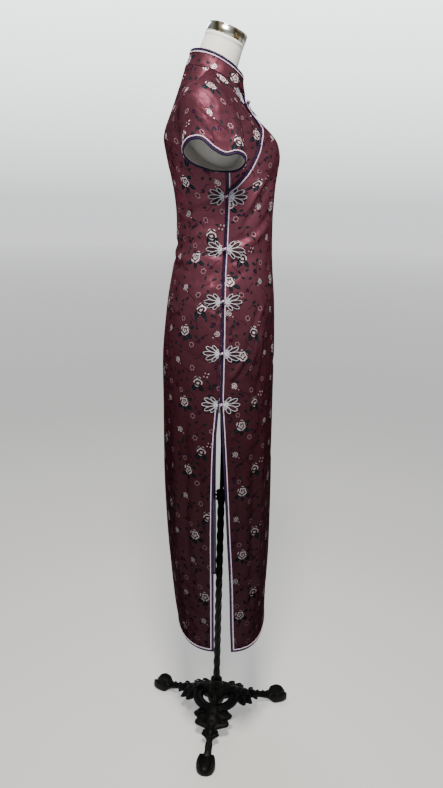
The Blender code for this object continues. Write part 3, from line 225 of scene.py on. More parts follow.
NECK_SEAM = NeckRing(0.062, 0.036, 0.063, 1.555, 0.381, 0.008)
COLLAR_TOP = NeckRing(0.0545, 0.032, 0.0555, 1.589, 0.42, 0.01)
NECK_POINT_ANGLE = math.radians(96.4)
ARMHOLE_REACH = {Side.FRONT: 0.053, Side.BACK: 0.0675}
ARMHOLE_MIDDLE = (0.009, 0.055)
SHOULDER_BLEND_START = 0.35
SHOULDER_BLEND_POWER = 1.7

# The overlap's edge: metres above the underarm, and share of the front's width.
OVERLAP = (
    (-0.045, 0.0), (-0.039, 0.01), (-0.03, 0.044), (-0.016, 0.087), (0.0, 0.103),
    (0.035, 0.097), (0.068, 0.144), (0.092, 0.246), (0.11, 0.318), (0.128, 0.385),
    (0.143, 0.44), (0.158, 0.49),
)
UNDERLAY_DEPTH = 3.4 * MM
UNDERLAY_RAMP = 0.07
UNDERLAY_LEAD = 1.35
UNDERLAY_TUCK = 0.045
UNDERLAY_START = -0.062

# The sleeve's opening: turn round it (0 underneath, 0.25 in front, 0.5 outside) and height.
SLEEVE_OPENING = (
    (0.0, 1.389), (0.125, 1.391), (0.25, 1.406), (0.375, 1.418), (0.45, 1.414), (0.5, 1.423),
    (0.56, 1.44), (0.625, 1.441), (0.75, 1.421), (0.875, 1.402), (1.0, 1.389),
)


def smooth_curve(table: Sequence[Sequence[float]]) -> Curve:
    """A cubic curve through the given places.

    Args:
        table: pairs of a place and the value there, in rising order.

    Returns:
        A function of one number or of an array.
    """
    knots, values = (np.array(column, float) for column in zip(*table))
    slopes = np.gradient(values, knots)

    def at(place: Number) -> Number:
        """The curve's value at a place, held at its ends beyond them."""
        place = np.clip(place, knots[0], knots[-1])
        index = np.clip(np.searchsorted(knots, place, side="right") - 1, 0, len(knots) - 2)
        span = knots[index + 1] - knots[index]
        share = (place - knots[index]) / span
        start = (1 + 2 * share) * (1 - share) ** 2 * values[index]
        leave = share * (1 - share) ** 2 * span * slopes[index]
        end = share**2 * (3 - 2 * share) * values[index + 1]
        arrive = share**2 * (share - 1) * span * slopes[index + 1]
        return start + leave + end + arrive

    return at


def section_curve(name: str) -> Curve:
    """A size of the level sections as a smooth curve over the height."""
    return smooth_curve([(section.height, getattr(section, name)) for section in SECTIONS])


def unit(vectors: Array) -> Array:
    """The vectors at length one."""
    return vectors / np.linalg.norm(vectors, axis=-1, keepdims=True)


def full_turn(count: int) -> Array:
    """Evenly spaced angles round a circle."""
    return np.arange(count) * 2 * math.pi / count


def stacked(*parts: Number) -> Array:
    """Places from their coordinates."""
    return np.stack(np.broadcast_arrays(*parts), axis=-1)


# ---- the worn form as functions
@dataclass
class DressShape:
    """The dress's outer surface as functions of a place on it.

    A place is a share of the half's width, 0 at the -X edge and 1 at the +X edge, and a rise in
    metres above the underarm.
    """

    half_width: Curve = field(default_factory=lambda: section_curve("half_width"))
    seam: Curve = field(default_factory=lambda: section_curve("seam"))
    back_square: Curve = field(default_factory=lambda: section_curve("back_square"))
    centre: dict = field(default_factory=lambda: {
        Side.FRONT: section_curve("front"), Side.BACK: section_curve("back")})
    parting: dict = field(default_factory=lambda: {
        Side.FRONT: section_curve("front_parting"), Side.BACK: section_curve("back_parting")})
    opening: Curve = field(default_factory=lambda: smooth_curve(SLEEVE_OPENING))
    closing: Curve = field(default_factory=lambda: smooth_curve(FAR_SLIT_CLOSING))
    overlap: Curve = field(init=False)

    def __post_init__(self) -> None:
        """Make the overlap's edge smooth across the cloth, also where the armhole starts beside it."""
        kept = [row for row in OVERLAP if row[0] != 0.0]
        rises = np.array([row[0] for row in kept])
        shares = np.array([row[1] for row in kept])
        wanted = smooth_curve(list(zip(rises, self.bearing(shares, rises))))
        levels = np.linspace(rises[0], rises[-1], 240)
        low, high = np.zeros(len(levels)), np.full(len(levels), 0.6)
        for _ in range(30):
            middle = (low + high) / 2
            short = self.bearing(middle, levels) < wanted(levels)
            low, high = np.where(short, middle, low), np.where(short, high, middle)
        self.overlap = lambda rise: np.interp(rise, levels, low)

    def bearing(self, share: Array, rise: Array) -> Array:
        """The direction of a front place as seen from the armholes' middle, 0 at the -X side."""
        place = self.point(Side.FRONT, share, rise)
        return np.arctan2(ARMHOLE_MIDDLE[1] - place[:, 1], -place[:, 0])

    def side_edge(self, side: Side, height: Number) -> Number:
        """Where a half of the dress ends at the side."""
        parting = np.where(height < SLIT_HEIGHT, self.parting[side](height), 0.0)
        return self.seam(height) + side.value * parting

    def square(self, side: Side, height: Number) -> Number:
        """How much fuller than an ellipse a level section's corners are."""
        return FRONT_SQUARE if side is Side.FRONT else self.back_square(height)

    def armhole_y(self, side: Side, share: Number) -> Number:
        """The armhole's edge, share 0 underneath and 1 at the shoulder."""
        low, high = ARMHOLE_MIDDLE
        bow = 2.0 * np.sqrt(np.clip(share * (1 - share), 0, 1))
        return low + (high - low) * share + side.value * ARMHOLE_REACH[side] * bow

    def armhole_angle(self, side: Side, up: Number, height: Number) -> Number:
        """The angle round a level section at which the armhole cuts it."""
        edge, centre = self.side_edge(side, height), self.centre[side](height)
        sine = np.clip((self.armhole_y(side, up) - edge) / (centre - edge), 0, 0.98)
        angle = np.arcsin(sine)
        for _ in range(3):
            angle = np.arcsin(sine / (1.0 + self.square(side, height) * np.sin(2 * angle) ** 2))
        return np.where(up > 0, angle, 0.0)

    def level_section(self, side: Side, height: Number, start: Number, inward: Number) -> tuple:
        """X and Y of a level section's -X half, inward 0 at the side edge and 1 at the centre."""
        angle = start + (math.pi / 2 - start) * inward
        fullness = 1.0 + self.square(side, height) * np.sin(2 * angle) ** 2
        edge = self.side_edge(side, height)
        x = -self.half_width(height) * np.cos(angle) * fullness
        return x, edge + (self.centre[side](height) - edge) * np.sin(angle) * fullness

    def neck_point(self, ring: NeckRing, angle: Number) -> Array:
        """A point of a neck ring; angle 0 is the front and grows towards -X."""
        x = -ring.half_width * np.sin(angle)
        y = ring.centre_y - ring.half_depth * np.cos(angle)
        rise = ring.slope * (y - ring.centre_y + ring.half_depth)
        z = ring.front_height + rise + ring.side_rise * np.sin(angle) ** 2
        return stacked(x, y, z)

    def top_row(self, side: Side, reach: Number) -> Array:
        """The neck and shoulder seam, reach 0 at the centre and 1 at the shoulder's end."""
        along_neck = np.clip(reach / SHOULDER_SHARE, 0, 1)
        start = 0.0 if side is Side.FRONT else math.pi
        neck = self.neck_point(NECK_SEAM, start + (NECK_POINT_ANGLE - start) * along_neck)
        neck_end = self.neck_point(NECK_SEAM, np.asarray(NECK_POINT_ANGLE))
        tip = np.array([-self.half_width(SHOULDER_HEIGHT), ARMHOLE_MIDDLE[1], SHOULDER_HEIGHT])
        along = np.clip((reach - SHOULDER_SHARE) / (1 - SHOULDER_SHARE), 0, 1)[..., None]
        return neck + (tip - neck_end) * along

    def crease_depth(self, side: Side, share: Array, height: Array) -> Array:
        """How far the creases sink the cloth, fading out at the seams and edges."""
        depth = np.zeros(np.broadcast(share, height).shape)
        for crease in CREASES:
            if crease.side is not side:
                continue
            run = ((crease.share_b - crease.share_a) * CREASE_SPAN, crease.height_b - crease.height_a)
            across, up = (share - crease.share_a) * CREASE_SPAN, height - crease.height_a
            along = np.clip((across * run[0] + up * run[1]) / (run[0] ** 2 + run[1] ** 2), 0, 1)
            distance = np.hypot(across - along * run[0], up - along * run[1])
            taper = 0.35 + 0.65 * np.sin(math.pi * np.clip(along, 0.03, 0.97)) ** 0.5
            if crease.reach >= FOLD_REACH:
                taper = 1.0
            depth = depth + taper * crease.depth * MM * np.exp(-((distance / (crease.reach * MM)) ** 2))
        edge_fade = np.clip(np.minimum(share, 1 - share) / 0.025, 0, 1)
        top_fade = np.clip((UNDERARM_HEIGHT + 0.148 - height) / 0.02, 0, 1)
        return depth * edge_fade * top_fade

    def point(self, side: Side, share: Number, rise: Number) -> Array:
        """A point of a torso half's outer surface."""
        share, rise = np.broadcast_arrays(np.asarray(share, float), np.asarray(rise, float))
        reach = np.abs(1 - 2 * share)
        up = np.clip(rise / ARMHOLE_RISE, 0, 1)
        height = UNDERARM_HEIGHT + rise
        start = self.armhole_angle(side, up, height)
        x, y = self.level_section(side, height, start, 1 - reach)
        edge_x, edge_y = self.level_section(side, height, start, 0.0)
        blend = np.clip((up - SHOULDER_BLEND_START) / (1 - SHOULDER_BLEND_START), 0, 1)
        blend = blend**SHOULDER_BLEND_POWER
        top = self.top_row(side, reach)
        tip_x, tip_y = -self.half_width(SHOULDER_HEIGHT), ARMHOLE_MIDDLE[1]
        x = (1 - blend) * x + blend * (top[..., 0] + (edge_x - tip_x) * reach**2)
        y = (1 - blend) * y + blend * (top[..., 1] + (edge_y - tip_y) * reach**2)
        z = height + blend * (top[..., 2] - SHOULDER_HEIGHT)
        for swelling in SWELLINGS:
            if swelling.side is side:
                sideways = (np.abs(x) - swelling.across) / swelling.reach_across
                upward = (z - swelling.height) / swelling.reach_up
                y = y + side.value * swelling.amount * np.exp(-(sideways**2) - upward**2)
        if side is Side.FRONT:
            y = y + self.closing(height) * np.exp(-(((1 - share) / 0.1) ** 2))
        x = np.where(share > 0.5, -x, x)
        inward = self.crease_depth(side, share, height)
        radius = np.hypot(x, y)
        return stacked(x * (1 - inward / radius), y * (1 - inward / radius), z)

    def normal(self, side: Side, share: Number, rise: Number) -> Array:
        """The outward unit normal of a torso half."""
        share = np.clip(share, 0.002, 0.998)
        rise = np.clip(rise, HEM_RISE, ARMHOLE_RISE - 0.002)
        normal = surface_normal(lambda u, v: self.point(side, u, v), share, rise)
        return normal * -side.value

    def lifted(self, side: Side, share: Number, rise: Number, lift: Number) -> Array:
        """A point above the surface, or below zero under it."""
        share, rise = np.broadcast_arrays(np.asarray(share, float), np.asarray(rise, float))
        return self.point(side, share, rise) + self.normal(side, share, rise) * np.asarray(lift)[..., None]

    def share_step(self, side: Side, share: Number, rise: Number, distance: Number) -> Number:
        """How much share a level distance takes at a place."""
        step = 0.001
        share = np.clip(share, step, 1 - step)
        span = self.point(side, share + step, rise) - self.point(side, share - step, rise)
        return distance * 2 * step / np.linalg.norm(span, axis=-1)

    def overlap_inset(self, rises: Array, distance: float) -> Array:
        """The share that moves the overlap's edge squarely by a distance, along each row."""
        step = 0.002
        share = self.overlap(rises)
        high = np.minimum(rises + step, ARMHOLE_RISE)
        low = np.maximum(rises - step, CLOSURE_RISE)
        along = self.point(Side.FRONT, self.overlap(high), high)
        along = along - self.point(Side.FRONT, self.overlap(low), low)
        level = self.point(Side.FRONT, share + step, rises) - self.point(Side.FRONT, share, rises)
        along = np.where((rises > CLOSURE_RISE)[:, None], along, np.array([0.0, 0.0, 1.0]))
        square = unit(np.cross(self.normal(Side.FRONT, share, rises), along))
        lean = np.clip(np.abs(np.sum(unit(level) * square, axis=-1)), 0.3, 1.0)
        return self.share_step(Side.FRONT, share, rises, distance / lean)

    def underlay_sink(self, share: Number, rise: Number) -> Number:
        """How far the right-hand flap lies under the front."""
        edge = np.where(rise < CLOSURE_RISE, 0.0, self.overlap(rise))
        return UNDERLAY_DEPTH * np.clip((share - edge) / UNDERLAY_RAMP + UNDERLAY_LEAD, 0, 1)

    def flap_point(self, share: Number, rise: Number, lift: Number) -> Array:
        """A point above the right-hand flap."""
        return self.lifted(Side.FRONT, share, rise, lift - self.underlay_sink(share, rise))

    def collar_point(self, turn: Number, up: Number) -> Array:
        """The stand collar's outer surface; turn 0 to 1 runs from the front round by -X."""
        turn, up = np.broadcast_arrays(np.asarray(turn, float), np.asarray(up, float))
        angle = turn * 2 * math.pi
        low = self.neck_point(NECK_SEAM, angle) + np.array([0, 0, SEAM_GAP])
        high = self.neck_point(COLLAR_TOP, angle)
        middle = stacked(low[..., 0], low[..., 1] - NECK_SEAM.centre_y, 0.0)
        bow = 0.0012 * np.sin(math.pi * up)[..., None]
        return low + (high - low) * up[..., None] - unit(middle) * bow

    def armhole_point(self, turn: Number) -> Array:
        """The armhole's loop on the -X side, turn 0 underneath and growing by the front."""
        turn = np.asarray(turn, float) % 1.0
        front = turn <= 0.5
        swing = np.where(front, turn * 2, 2 - turn * 2)
        rise = (1 - np.cos(math.pi * swing)) / 2 * ARMHOLE_RISE
        ahead, behind = self.point(Side.FRONT, 0.0, rise), self.point(Side.BACK, 0.0, rise)
        return np.where(front[..., None], ahead, behind)


def surface_normal(point: Callable, u: Array, v: Array, step: float = 0.0008) -> Array:
    """The unit normal of point(u, v), along the cross product of its two directions."""
    along_u = point(u + step, v) - point(u - step, v)
    along_v = point(u, v + step) - point(u, v - step)
    return unit(np.cross(along_u, along_v))


# ---- meshes from points
def new_mesh(name: str, points: Array, faces: Sequence, uv: Optional[Array] = None) -> Mesh:
    """A smooth mesh from points and faces.

    Args:
        name: the mesh's name.
        points: an array of places, of any leading shape.
        faces: lists of point numbers.
        uv: a pair of numbers for each point, written to the face corners.

    Returns:
        The mesh, with faces as they are given.
    """
    mesh = bpy.data.meshes.new(name)
    mesh.from_pydata([tuple(p) for p in np.reshape(points, (-1, 3)).tolist()], [], faces)
    if uv is not None:
        layer = mesh.uv_layers.new(name="Cloth")
        corners = np.zeros(len(mesh.loops), np.int32)
        mesh.loops.foreach_get("vertex_index", corners)
        layer.data.foreach_set("uv", np.reshape(uv, (-1, 2))[corners].astype(np.float32).ravel())
    mesh.shade_smooth()
    mesh.validate()
    return mesh


def face_outwards(mesh: Mesh) -> Mesh:
    """Turn a closed mesh's faces outwards."""
    shape = bmesh.new()
    shape.from_mesh(mesh)
    bmesh.ops.recalc_face_normals(shape, faces=shape.faces[:])
    if shape.calc_volume(signed=True) < 0:
        bmesh.ops.reverse_faces(shape, faces=shape.faces[:])
    shape.to_mesh(mesh)
    shape.free()
    return mesh


def grid_faces(rows: int, columns: int, wrap: bool = False, start: int = 0) -> list:
    """The quads between the points of a grid, wrapping round its columns or not."""
    last = columns if wrap else columns - 1
    faces = []
    for row in range(rows - 1):
        for column in range(last):
            low, high = start + row * columns, start + (row + 1) * columns
            after = (column + 1) % columns
            faces.append([low + column, low + after, high + after, high + column])
    return faces


def swept_mesh(name: str, rings: Array, closed: bool = False) -> Mesh:
    """A closed skin over rings of points (rings, points, 3).

    Args:
        name: the mesh's name.
        rings: the rings in order along the sweep.
        closed: whether the last ring joins the first; otherwise both ends are capped.

    Returns:
        The mesh, with its faces outwards.
    """
    count, sides = rings.shape[:2]
    faces = grid_faces(count, sides, wrap=True)
    if closed:
        low = (count - 1) * sides
        faces += [[low + i, low + (i + 1) % sides, (i + 1) % sides, i] for i in range(sides)]
    else:
        faces += [list(range(sides))[::-1], [(count - 1) * sides + i for i in range(sides)]]
    return face_outwards(new_mesh(name, rings, faces))


def turned_ring(turns: Array, radius: Number, height: Number) -> Array:
    """Level circles about Z, from their radii and heights."""
    return stacked(radius * np.cos(turns), radius * np.sin(turns), height)


def turned_mesh(name: str, profile: Sequence, sides: int = 48) -> Mesh:
    """A solid turned about Z; the profile's (radius, height) pairs start and end on the axis."""
    turns = full_turn(sides)
    inner = np.array(profile[1:-1], float)
    radius, height = inner[:, :1], inner[:, 1:]
    rings = turned_ring(turns, radius, height)
    points = np.concatenate([rings.reshape(-1, 3), [[0, 0, profile[0][1]], [0, 0, profile[-1][1]]]])
    faces = grid_faces(len(inner), sides, wrap=True)
    first, last, end = len(points) - 2, len(points) - 1, (len(inner) - 1) * sides
    for i in range(sides):
        after = (i + 1) % sides
        faces += [[first, after, i], [last, end + i, end + after]]
    return face_outwards(new_mesh(name, points, faces))


def ball_profile(radius: float, squash: float, count: int) -> list:
    """The profile of a squashed ball, from its top to its foot."""
    return [(radius * math.sin(step), squash * radius * math.cos(step))
            for step in np.linspace(0, math.pi, count)]


def rounded_section(points: int = 12, power: float = 0.6) -> Array:
    """A rounded-rectangle outline within -1 to 1, as (across, up) pairs."""
    angle = full_turn(points) + math.pi / points
    cos, sin = np.cos(angle), np.sin(angle)
    return stacked(np.sign(cos) * np.abs(cos) ** power, np.sign(sin) * np.abs(sin) ** power)


def joined_mesh(name: str, meshes: Sequence[Mesh]) -> Mesh:
    """Several meshes as one, with their material numbers kept."""
    shape = bmesh.new()
    for mesh in meshes:
        shape.from_mesh(mesh)
        bpy.data.meshes.remove(mesh)
    joined = bpy.data.meshes.new(name)
    shape.to_mesh(joined)
    shape.free()
    return joined


def show(thing: Object) -> None:
    """Put an object into the scene."""
    bpy.context.scene.collection.objects.link(thing)


def add_piece(name: str, mesh: Mesh, body: Body, materials: Sequence[Material],
              nodes: Sequence[str] = ()) -> Object:
    """Place a finished mesh in the frame.

    Args:
        name: the piece's name.
        mesh: its mesh, worked out round the pole's axis.
        body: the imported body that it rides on.
        materials: its materials in the order of the mesh's material numbers.
        nodes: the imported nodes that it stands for.

    Returns:
        The new object, at the origin and unturned.
    """
    mesh.transform(Matrix.Translation((0, POLE_BEHIND_ORIGIN, 0)))
    mesh.name = name
    mesh.materials.clear()
    for material in materials:
        mesh.materials.append(material)
    piece = bpy.data.objects.new(name, mesh)
    show(piece)
    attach(piece, body.value)
    if nodes:
        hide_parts(*nodes)
    LOG.info("%s: %d faces, rides on %s", name, len(mesh.polygons), body.value)
    return piece


# ---- grids of cloth
@dataclass
class Panel:
    """A dense grid of cloth points (rows, columns, 3) with outward normals and flat places."""

    points: Array
    normals: Array
    wrap: bool = False
    flat_shift: tuple = (0.0, 0.0)
    flat_sense: tuple = (1, 1)
    flat_shear: float = 0.0

    def flat_places(self) -> Array:
        """Where each point lies on the flat cloth in metres, the pattern's own coordinates."""
        middle = self.points.shape[1] // 2
        steps = np.linalg.norm(np.diff(self.points, axis=1), axis=-1)
        along = np.concatenate([np.zeros((len(steps), 1)), np.cumsum(steps, axis=1)], axis=1)
        along = (along - along[:, middle:middle + 1]) * self.flat_sense[0]
        rises = np.linalg.norm(np.diff(self.points[:, middle], axis=0), axis=-1)
        up = np.concatenate([[0.0], np.cumsum(rises)])[:, None] * self.flat_sense[1] + 0 * along
        along = along + self.flat_shear * up
        return stacked(along + self.flat_shift[0], up + self.flat_shift[1])

    def cloth(self, name: str, lift: float = 0.0, wall: float = CLOTH_WALL) -> Mesh:
        """The cloth as a thin closed shell; its inner face has material number 1."""
        outer = self.points + self.normals * lift
        inner = outer - self.normals * wall
        uv = self.flat_places()
        rows, columns = outer.shape[:2]
        count = rows * columns
        outside = grid_faces(rows, columns, self.wrap)
        inside = [face[::-1] for face in grid_faces(rows, columns, self.wrap, count)]
        numbers = np.arange(count).reshape(rows, columns)
        if self.wrap:
            numbers = np.concatenate([numbers, numbers[:, :1]], axis=1)
        lines = [(numbers[0], False), (numbers[-1], True)]
        lines += [] if self.wrap else [(numbers[:, 0], True), (numbers[:, -1], False)]
        rims = []
        for line, ahead in lines:
            for near, far in zip(line[:-1].tolist(), line[1:].tolist()):
                face = [near, far, far + count, near + count]
                rims.append(face if ahead else [near, *face[:0:-1]])
        points = np.concatenate([outer.reshape(-1, 3), inner.reshape(-1, 3)])
        uvs = np.concatenate([uv.reshape(-1, 2), uv.reshape(-1, 2)])
        mesh = new_mesh(name, points, outside + rims + inside, uvs)
        numbers = np.zeros(len(mesh.polygons), np.int32)
        numbers[len(outside) + len(rims):] = 1
        mesh.polygons.foreach_set("material_index", numbers)
        return mesh

    def neighbour(self, row: int, column: int, row_step: int, column_step: int) -> Array:
        """The direction from one grid point to the next."""
        columns = self.points.shape[1]
        target = (column + column_step) % columns if self.wrap else column + column_step
        return unit(self.points[row + row_step, target] - self.points[row, column])

    def ladder(self, path: Sequence, closed: bool = False) -> tuple:
        """Places along an edge and how a step of one metre square into the panel moves them.

        Args:
            path: (row, column, row step, column step) for each place; a corner has both steps.
            closed: whether the path runs round to its start.

        Returns:
            The places, the inward moves and the normals.
        """
        places = np.array([self.points[row, column] for row, column, _, _ in path])
        normals = np.array([self.normals[row, column] for row, column, _, _ in path])
        inward = []
        for i, (row, column, row_step, column_step) in enumerate(path):
            if row_step and column_step:
                level = self.neighbour(row, column, 0, column_step)
                upward = self.neighbour(row, column, row_step, 0)
                inward.append((level + upward) / math.sqrt(1 - (level @ upward) ** 2))
                continue
            before = places[i - 1] if i or closed else places[i]
            after = places[(i + 1) % len(path)] if i + 1 < len(path) or closed else places[i]
            along = self.neighbour(row, column, row_step, column_step)
            square = unit(np.cross(normals[i], after - before))
            inward.append(along / max(abs(along @ square), 0.3))
        return places, np.array(inward), normals

    def edge_path(self, left_top: int, right_top: int) -> list:
        """Places down the -X edge, along the hem and up the +X edge."""
        columns = self.points.shape[1]
        path = [(row, 0, 0, 1) for row in range(left_top, 0, -1)]
        path.append((0, 0, 1, 1))
        path += [(0, column, 1, 0) for column in range(1, columns - 1)]
        path.append((0, columns - 1, 1, -1))
        path += [(row, columns - 1, 0, -1) for row in range(1, right_top + 1)]
        return path


def strip_mesh(name: str, ladder: tuple, across: tuple, up: tuple, closed: bool = False) -> Mesh:
    """A rounded strip of cloth beside a panel's edge.

    Args:
        name: the mesh's name.
        ladder: places, inward moves and normals from Panel.ladder.
        across: where it starts and ends, in metres into the panel.
        up: how low and how high it lies over the panel's points.
        closed: whether the strip runs round to its start.

    Returns:
        The strip's mesh.
    """
    places, inward, normals = ladder
    section = rounded_section()
    middle = ((across[0] + across[1]) / 2, (up[0] + up[1]) / 2)
    half = ((across[1] - across[0]) / 2, (up[1] - up[0]) / 2)
    step = (middle[0] + half[0] * section[:, 0])[None, :, None]
    lift = (middle[1] + half[1] * section[:, 1])[None, :, None]
    rings = places[:, None, :] + inward[:, None, :] * step + normals[:, None, :] * lift
    return swept_mesh(name, rings, closed)


def tube_mesh(name: str, path: Array, radius: Number, sides: int = 10, closed: bool = False) -> Mesh:
    """A round cord along a path, its sections kept from twisting."""
    path = np.asarray(path, float)
    before, after = np.roll(path, 1, axis=0), np.roll(path, -1, axis=0)
    if not closed:
        before[0], after[-1] = path[0], path[-1]
    along = unit(after - before)
    first = np.cross(along[0], [0.0, 0.0, 1.0])
    if np.linalg.norm(first) < 0.1:
        first = np.cross(along[0], [0.0, 1.0, 0.0])
    sideways = [unit(first)]
    for direction in along[1:]:
        moved = sideways[-1] - direction * (sideways[-1] @ direction)
        sideways.append(unit(moved))
    sideways = np.array(sideways)
    upward = np.cross(along, sideways)
    angle = full_turn(sides)
    radius = np.broadcast_to(np.asarray(radius, float), (len(path),))[:, None, None]
    ring = sideways[:, None] * np.cos(angle)[None, :, None] + upward[:, None] * np.sin(angle)[None, :, None]
    return swept_mesh(name, path[:, None] + ring * radius, closed)


# ---- materials
def linear_colour(code: str) -> tuple:
    """An sRGB hex colour as linear red, green, blue and alpha."""
    channels = [int(code[i:i + 2], 16) / 255 for i in (0, 2, 4)]
    linear = [c / 12.92 if c <= 0.04045 else ((c + 0.055) / 1.055) ** 2.4 for c in channels]
    return (*linear, 1.0)


def add_node(tree: NodeTree, kind: str, inputs: Optional[dict] = None,
             stops: Sequence = (), **settings: object) -> Node:
    """Add a node with its settings and links.

    Args:
        tree: the node tree.
        kind: the node's type name; shader nodes go without their first word.
        inputs: by an input's name or number, its value or hex colour, or the socket that feeds it;
            a node stands for the first output it has on.
        stops: for a colour ramp, pairs of a place and a hex colour.
        **settings: the node's own properties.

    Returns:
        The new node.
    """
    node = tree.nodes.new(kind if "Node" in kind else f"ShaderNode{kind}")
    for name, value in settings.items():
        setattr(node, name, value)
    for key, value in (inputs or {}).items():
        if isinstance(value, str):
            value = linear_colour(value)
        if isinstance(value, Node):
            value = next(socket for socket in value.outputs if socket.enabled)
        if isinstance(value, NodeSocket):
            tree.links.new(value, node.inputs[key])
        else:
            node.inputs[key].default_value = value
    for number, (place, code) in enumerate(stops):
        ramp = node.color_ramp.elements
        element = ramp[number] if number < 2 else ramp.new(place)
        element.position, element.color = place, linear_colour(code)
    return node


def new_material(name: str) -> tuple:
    """A material without nodes, and the function that adds them."""
    material = bpy.data.materials.new(name)
    material.use_nodes = True
    material.node_tree.nodes.clear()
    return material, partial(add_node, material.node_tree)


@dataclass(frozen=True)
class SatinCloth:
    """Plain satin: a smooth warp sheen over fine threads."""

    name: str
    colour: str
    shade: str
    roughness: float = 0.38
    sheen: float = 0.25
    thread: float = 2600.0
    bump: float = 0.1
    gloss: float = 0.4

    def make(self) -> Material:
        """Fine threads in the bump and a slow change of shade along them."""
        material, add = new_material(self.name)
        place = add("TexCoord").outputs["Object"]
        slow = add("TexNoise", {"Vector": place, "Scale": 60.0, "Detail": 3.0})
        tone = add("Mix", {"Factor": slow, "A": self.colour, "B": self.shade}, data_type="RGBA")
        fine = add("TexNoise", {"Vector": place, "Scale": self.thread, "Detail": 1.0})
        bump = add("Bump", {"Height": fine, "Strength": self.bump, "Distance": 0.0002})
        shader = add("BsdfPrincipled", {"Base Color": tone, "Roughness": self.roughness,
                                        "Sheen Weight": self.sheen, "Specular IOR Level": self.gloss,
                                        "Normal": bump})
        add("OutputMaterial", {"Surface": shader})
        return material


@dataclass(frozen=True)
class Iron:
    """Black painted or japanned iron with a soft gloss and a faint cast grain."""

    name: str
    colour: str
    wear_and_reflection: str
    roughness: float
    grain: float
    bump: float
    gloss: float = 0.3

    def make(self) -> Material:
        """Paint that is duller in its pits, over a grain of the given size."""
        material, add = new_material(self.name)
        place = add("TexCoord").outputs["Object"]
        grain = add("TexNoise", {"Vector": place, "Scale": self.grain, "Detail": 4.0})
        tone = add("ValToRGB", {"Fac": grain}, stops=((0.35, self.colour), (0.75, self.wear_and_reflection)))
        dull = add("MapRange", {"Value": grain, "From Min": 0.3, "From Max": 0.7,
                                "To Min": self.roughness + 0.12, "To Max": self.roughness - 0.06})
        bump = add("Bump", {"Height": grain, "Strength": self.bump, "Distance": 0.0006})
        shader = add("BsdfPrincipled", {"Base Color": tone, "Roughness": dull,
                                        "Specular IOR Level": self.gloss, "Normal": bump})
        add("OutputMaterial", {"Surface": shader})
        return material


@dataclass(frozen=True)
class BrushedBrass:
    """The cap's plated band: brushed round the axis, with upright bands of painted reflection from brown to
    near-white.
    """

    name: str = "Plated brass with painted reflections"
    # painted reflection: upright bands from dark brown to near-white round the band
    painted_reflection_bands: tuple = ((0.34, "6E5A3C"), (0.43, "A89E82"), (0.52, "D4D2C8"), (0.64, "F0F0EC"))
    scratch: str = "2A2118"

    def make(self) -> Material:
        """Long fine scratches round the band over upright bands of painted reflection."""
        material, add = new_material(self.name)
        place = add("TexCoord").outputs["Object"]
        # painted reflection: noise stretched upright makes the bright and dark bands
        band_place = add("Mapping", {"Vector": place, "Location": (0.31, 0.12, 0.0),
                                  "Scale": (58.0, 58.0, 3.0)})
        wear_and_reflection = add("TexNoise", {"Vector": band_place, "Scale": 1.0, "Detail": 1.0})
        tone = add("ValToRGB", {"Fac": wear_and_reflection}, stops=self.painted_reflection_bands)
        stretched = add("Mapping", {"Vector": place, "Scale": (30.0, 30.0, 2400.0)})
        scratch = add("TexNoise", {"Vector": stretched, "Scale": 1.0, "Detail": 3.0})
        faint = add("MapRange", {"Value": scratch, "From Min": 0.45, "From Max": 0.75, "To Max": 0.45})
        colour = add("Mix", {"Factor": faint, "A": tone, "B": self.scratch}, data_type="RGBA")
        bump = add("Bump", {"Height": scratch, "Strength": 0.12, "Distance": 0.0001})
        shader = add("BsdfPrincipled", {"Base Color": colour, "Roughness": 0.22, "Metallic": 1.0,
                                        "Normal": bump})
        add("OutputMaterial", {"Surface": shader})
        return material


@dataclass(frozen=True)
class StudioPaper:
    """The pale floor's paper, which glows softly and meets the background far away."""

    name: str = "Pale studio paper"
    reach: float = 24.0
    paper: tuple = ((0.0, "D6D6D0"), (0.2, "C8C8C4"), (0.9, "404040"))
    glow: tuple = ((0.0, "8A8B8A"), (0.045, "7C7C7D"), (0.2, "A4A4A6"), (0.9, "E0E1E2"))

    def make(self) -> Material:
        """Paper and glow by the distance from the middle."""
        material, add = new_material(self.name)
        place = add("TexCoord").outputs["Object"]
        far = add("VectorMath", {0: place}, operation="LENGTH")
        share = add("Math", {0: far, 1: self.reach}, operation="DIVIDE")
        paper = add("ValToRGB", {"Fac": share}, stops=self.paper)
        glow = add("ValToRGB", {"Fac": share}, stops=self.glow)
        shader = add("BsdfPrincipled", {"Base Color": paper, "Roughness": 0.9, "Specular IOR Level": 0.0,
                                        "Emission Color": glow, "Emission Strength": 1.4})
        add("OutputMaterial", {"Surface": shader})
        return material


class Motif(Enum):
    """The woven motifs of the brocade."""

    ROSE = "rose"
    SIDE_ROSE = "side rose"
    LEAF = "leaf"
    BLOSSOM = "blossom"
    BUD = "bud"
    RING = "ring flower"
    STEM = "stem"


@dataclass(frozen=True)
class MotifPlace:
    """One motif in the repeat: where its middle lies, its half size and its turn (mm, degrees)."""

    motif: Motif
    x: float
    y: float
    size: float
    angle: float = 0.0


@dataclass(frozen=True)
class MotifLook:
    """A motif's shape as steps of arithmetic, and the colours of its tone from 0 to 1.

    Each step names its result, a Math operation and what it works on: numbers, earlier results,
    or x, y, r and turn of the motif's own unit plane. The last two results are mask and tone.
    """

    steps: tuple
    stops: tuple


def lobed(turns: float, swing: float, least: float, wave: str = "COSINE") -> tuple:
    """Steps to "edge", a rim of petals round the middle."""
    return (("lobes", "MULTIPLY", "turn", turns), ("lobes", wave, "lobes"), ("lobes", "ABSOLUTE", "lobes"),
            ("edge", "MULTIPLY_ADD", "lobes", swing, least))


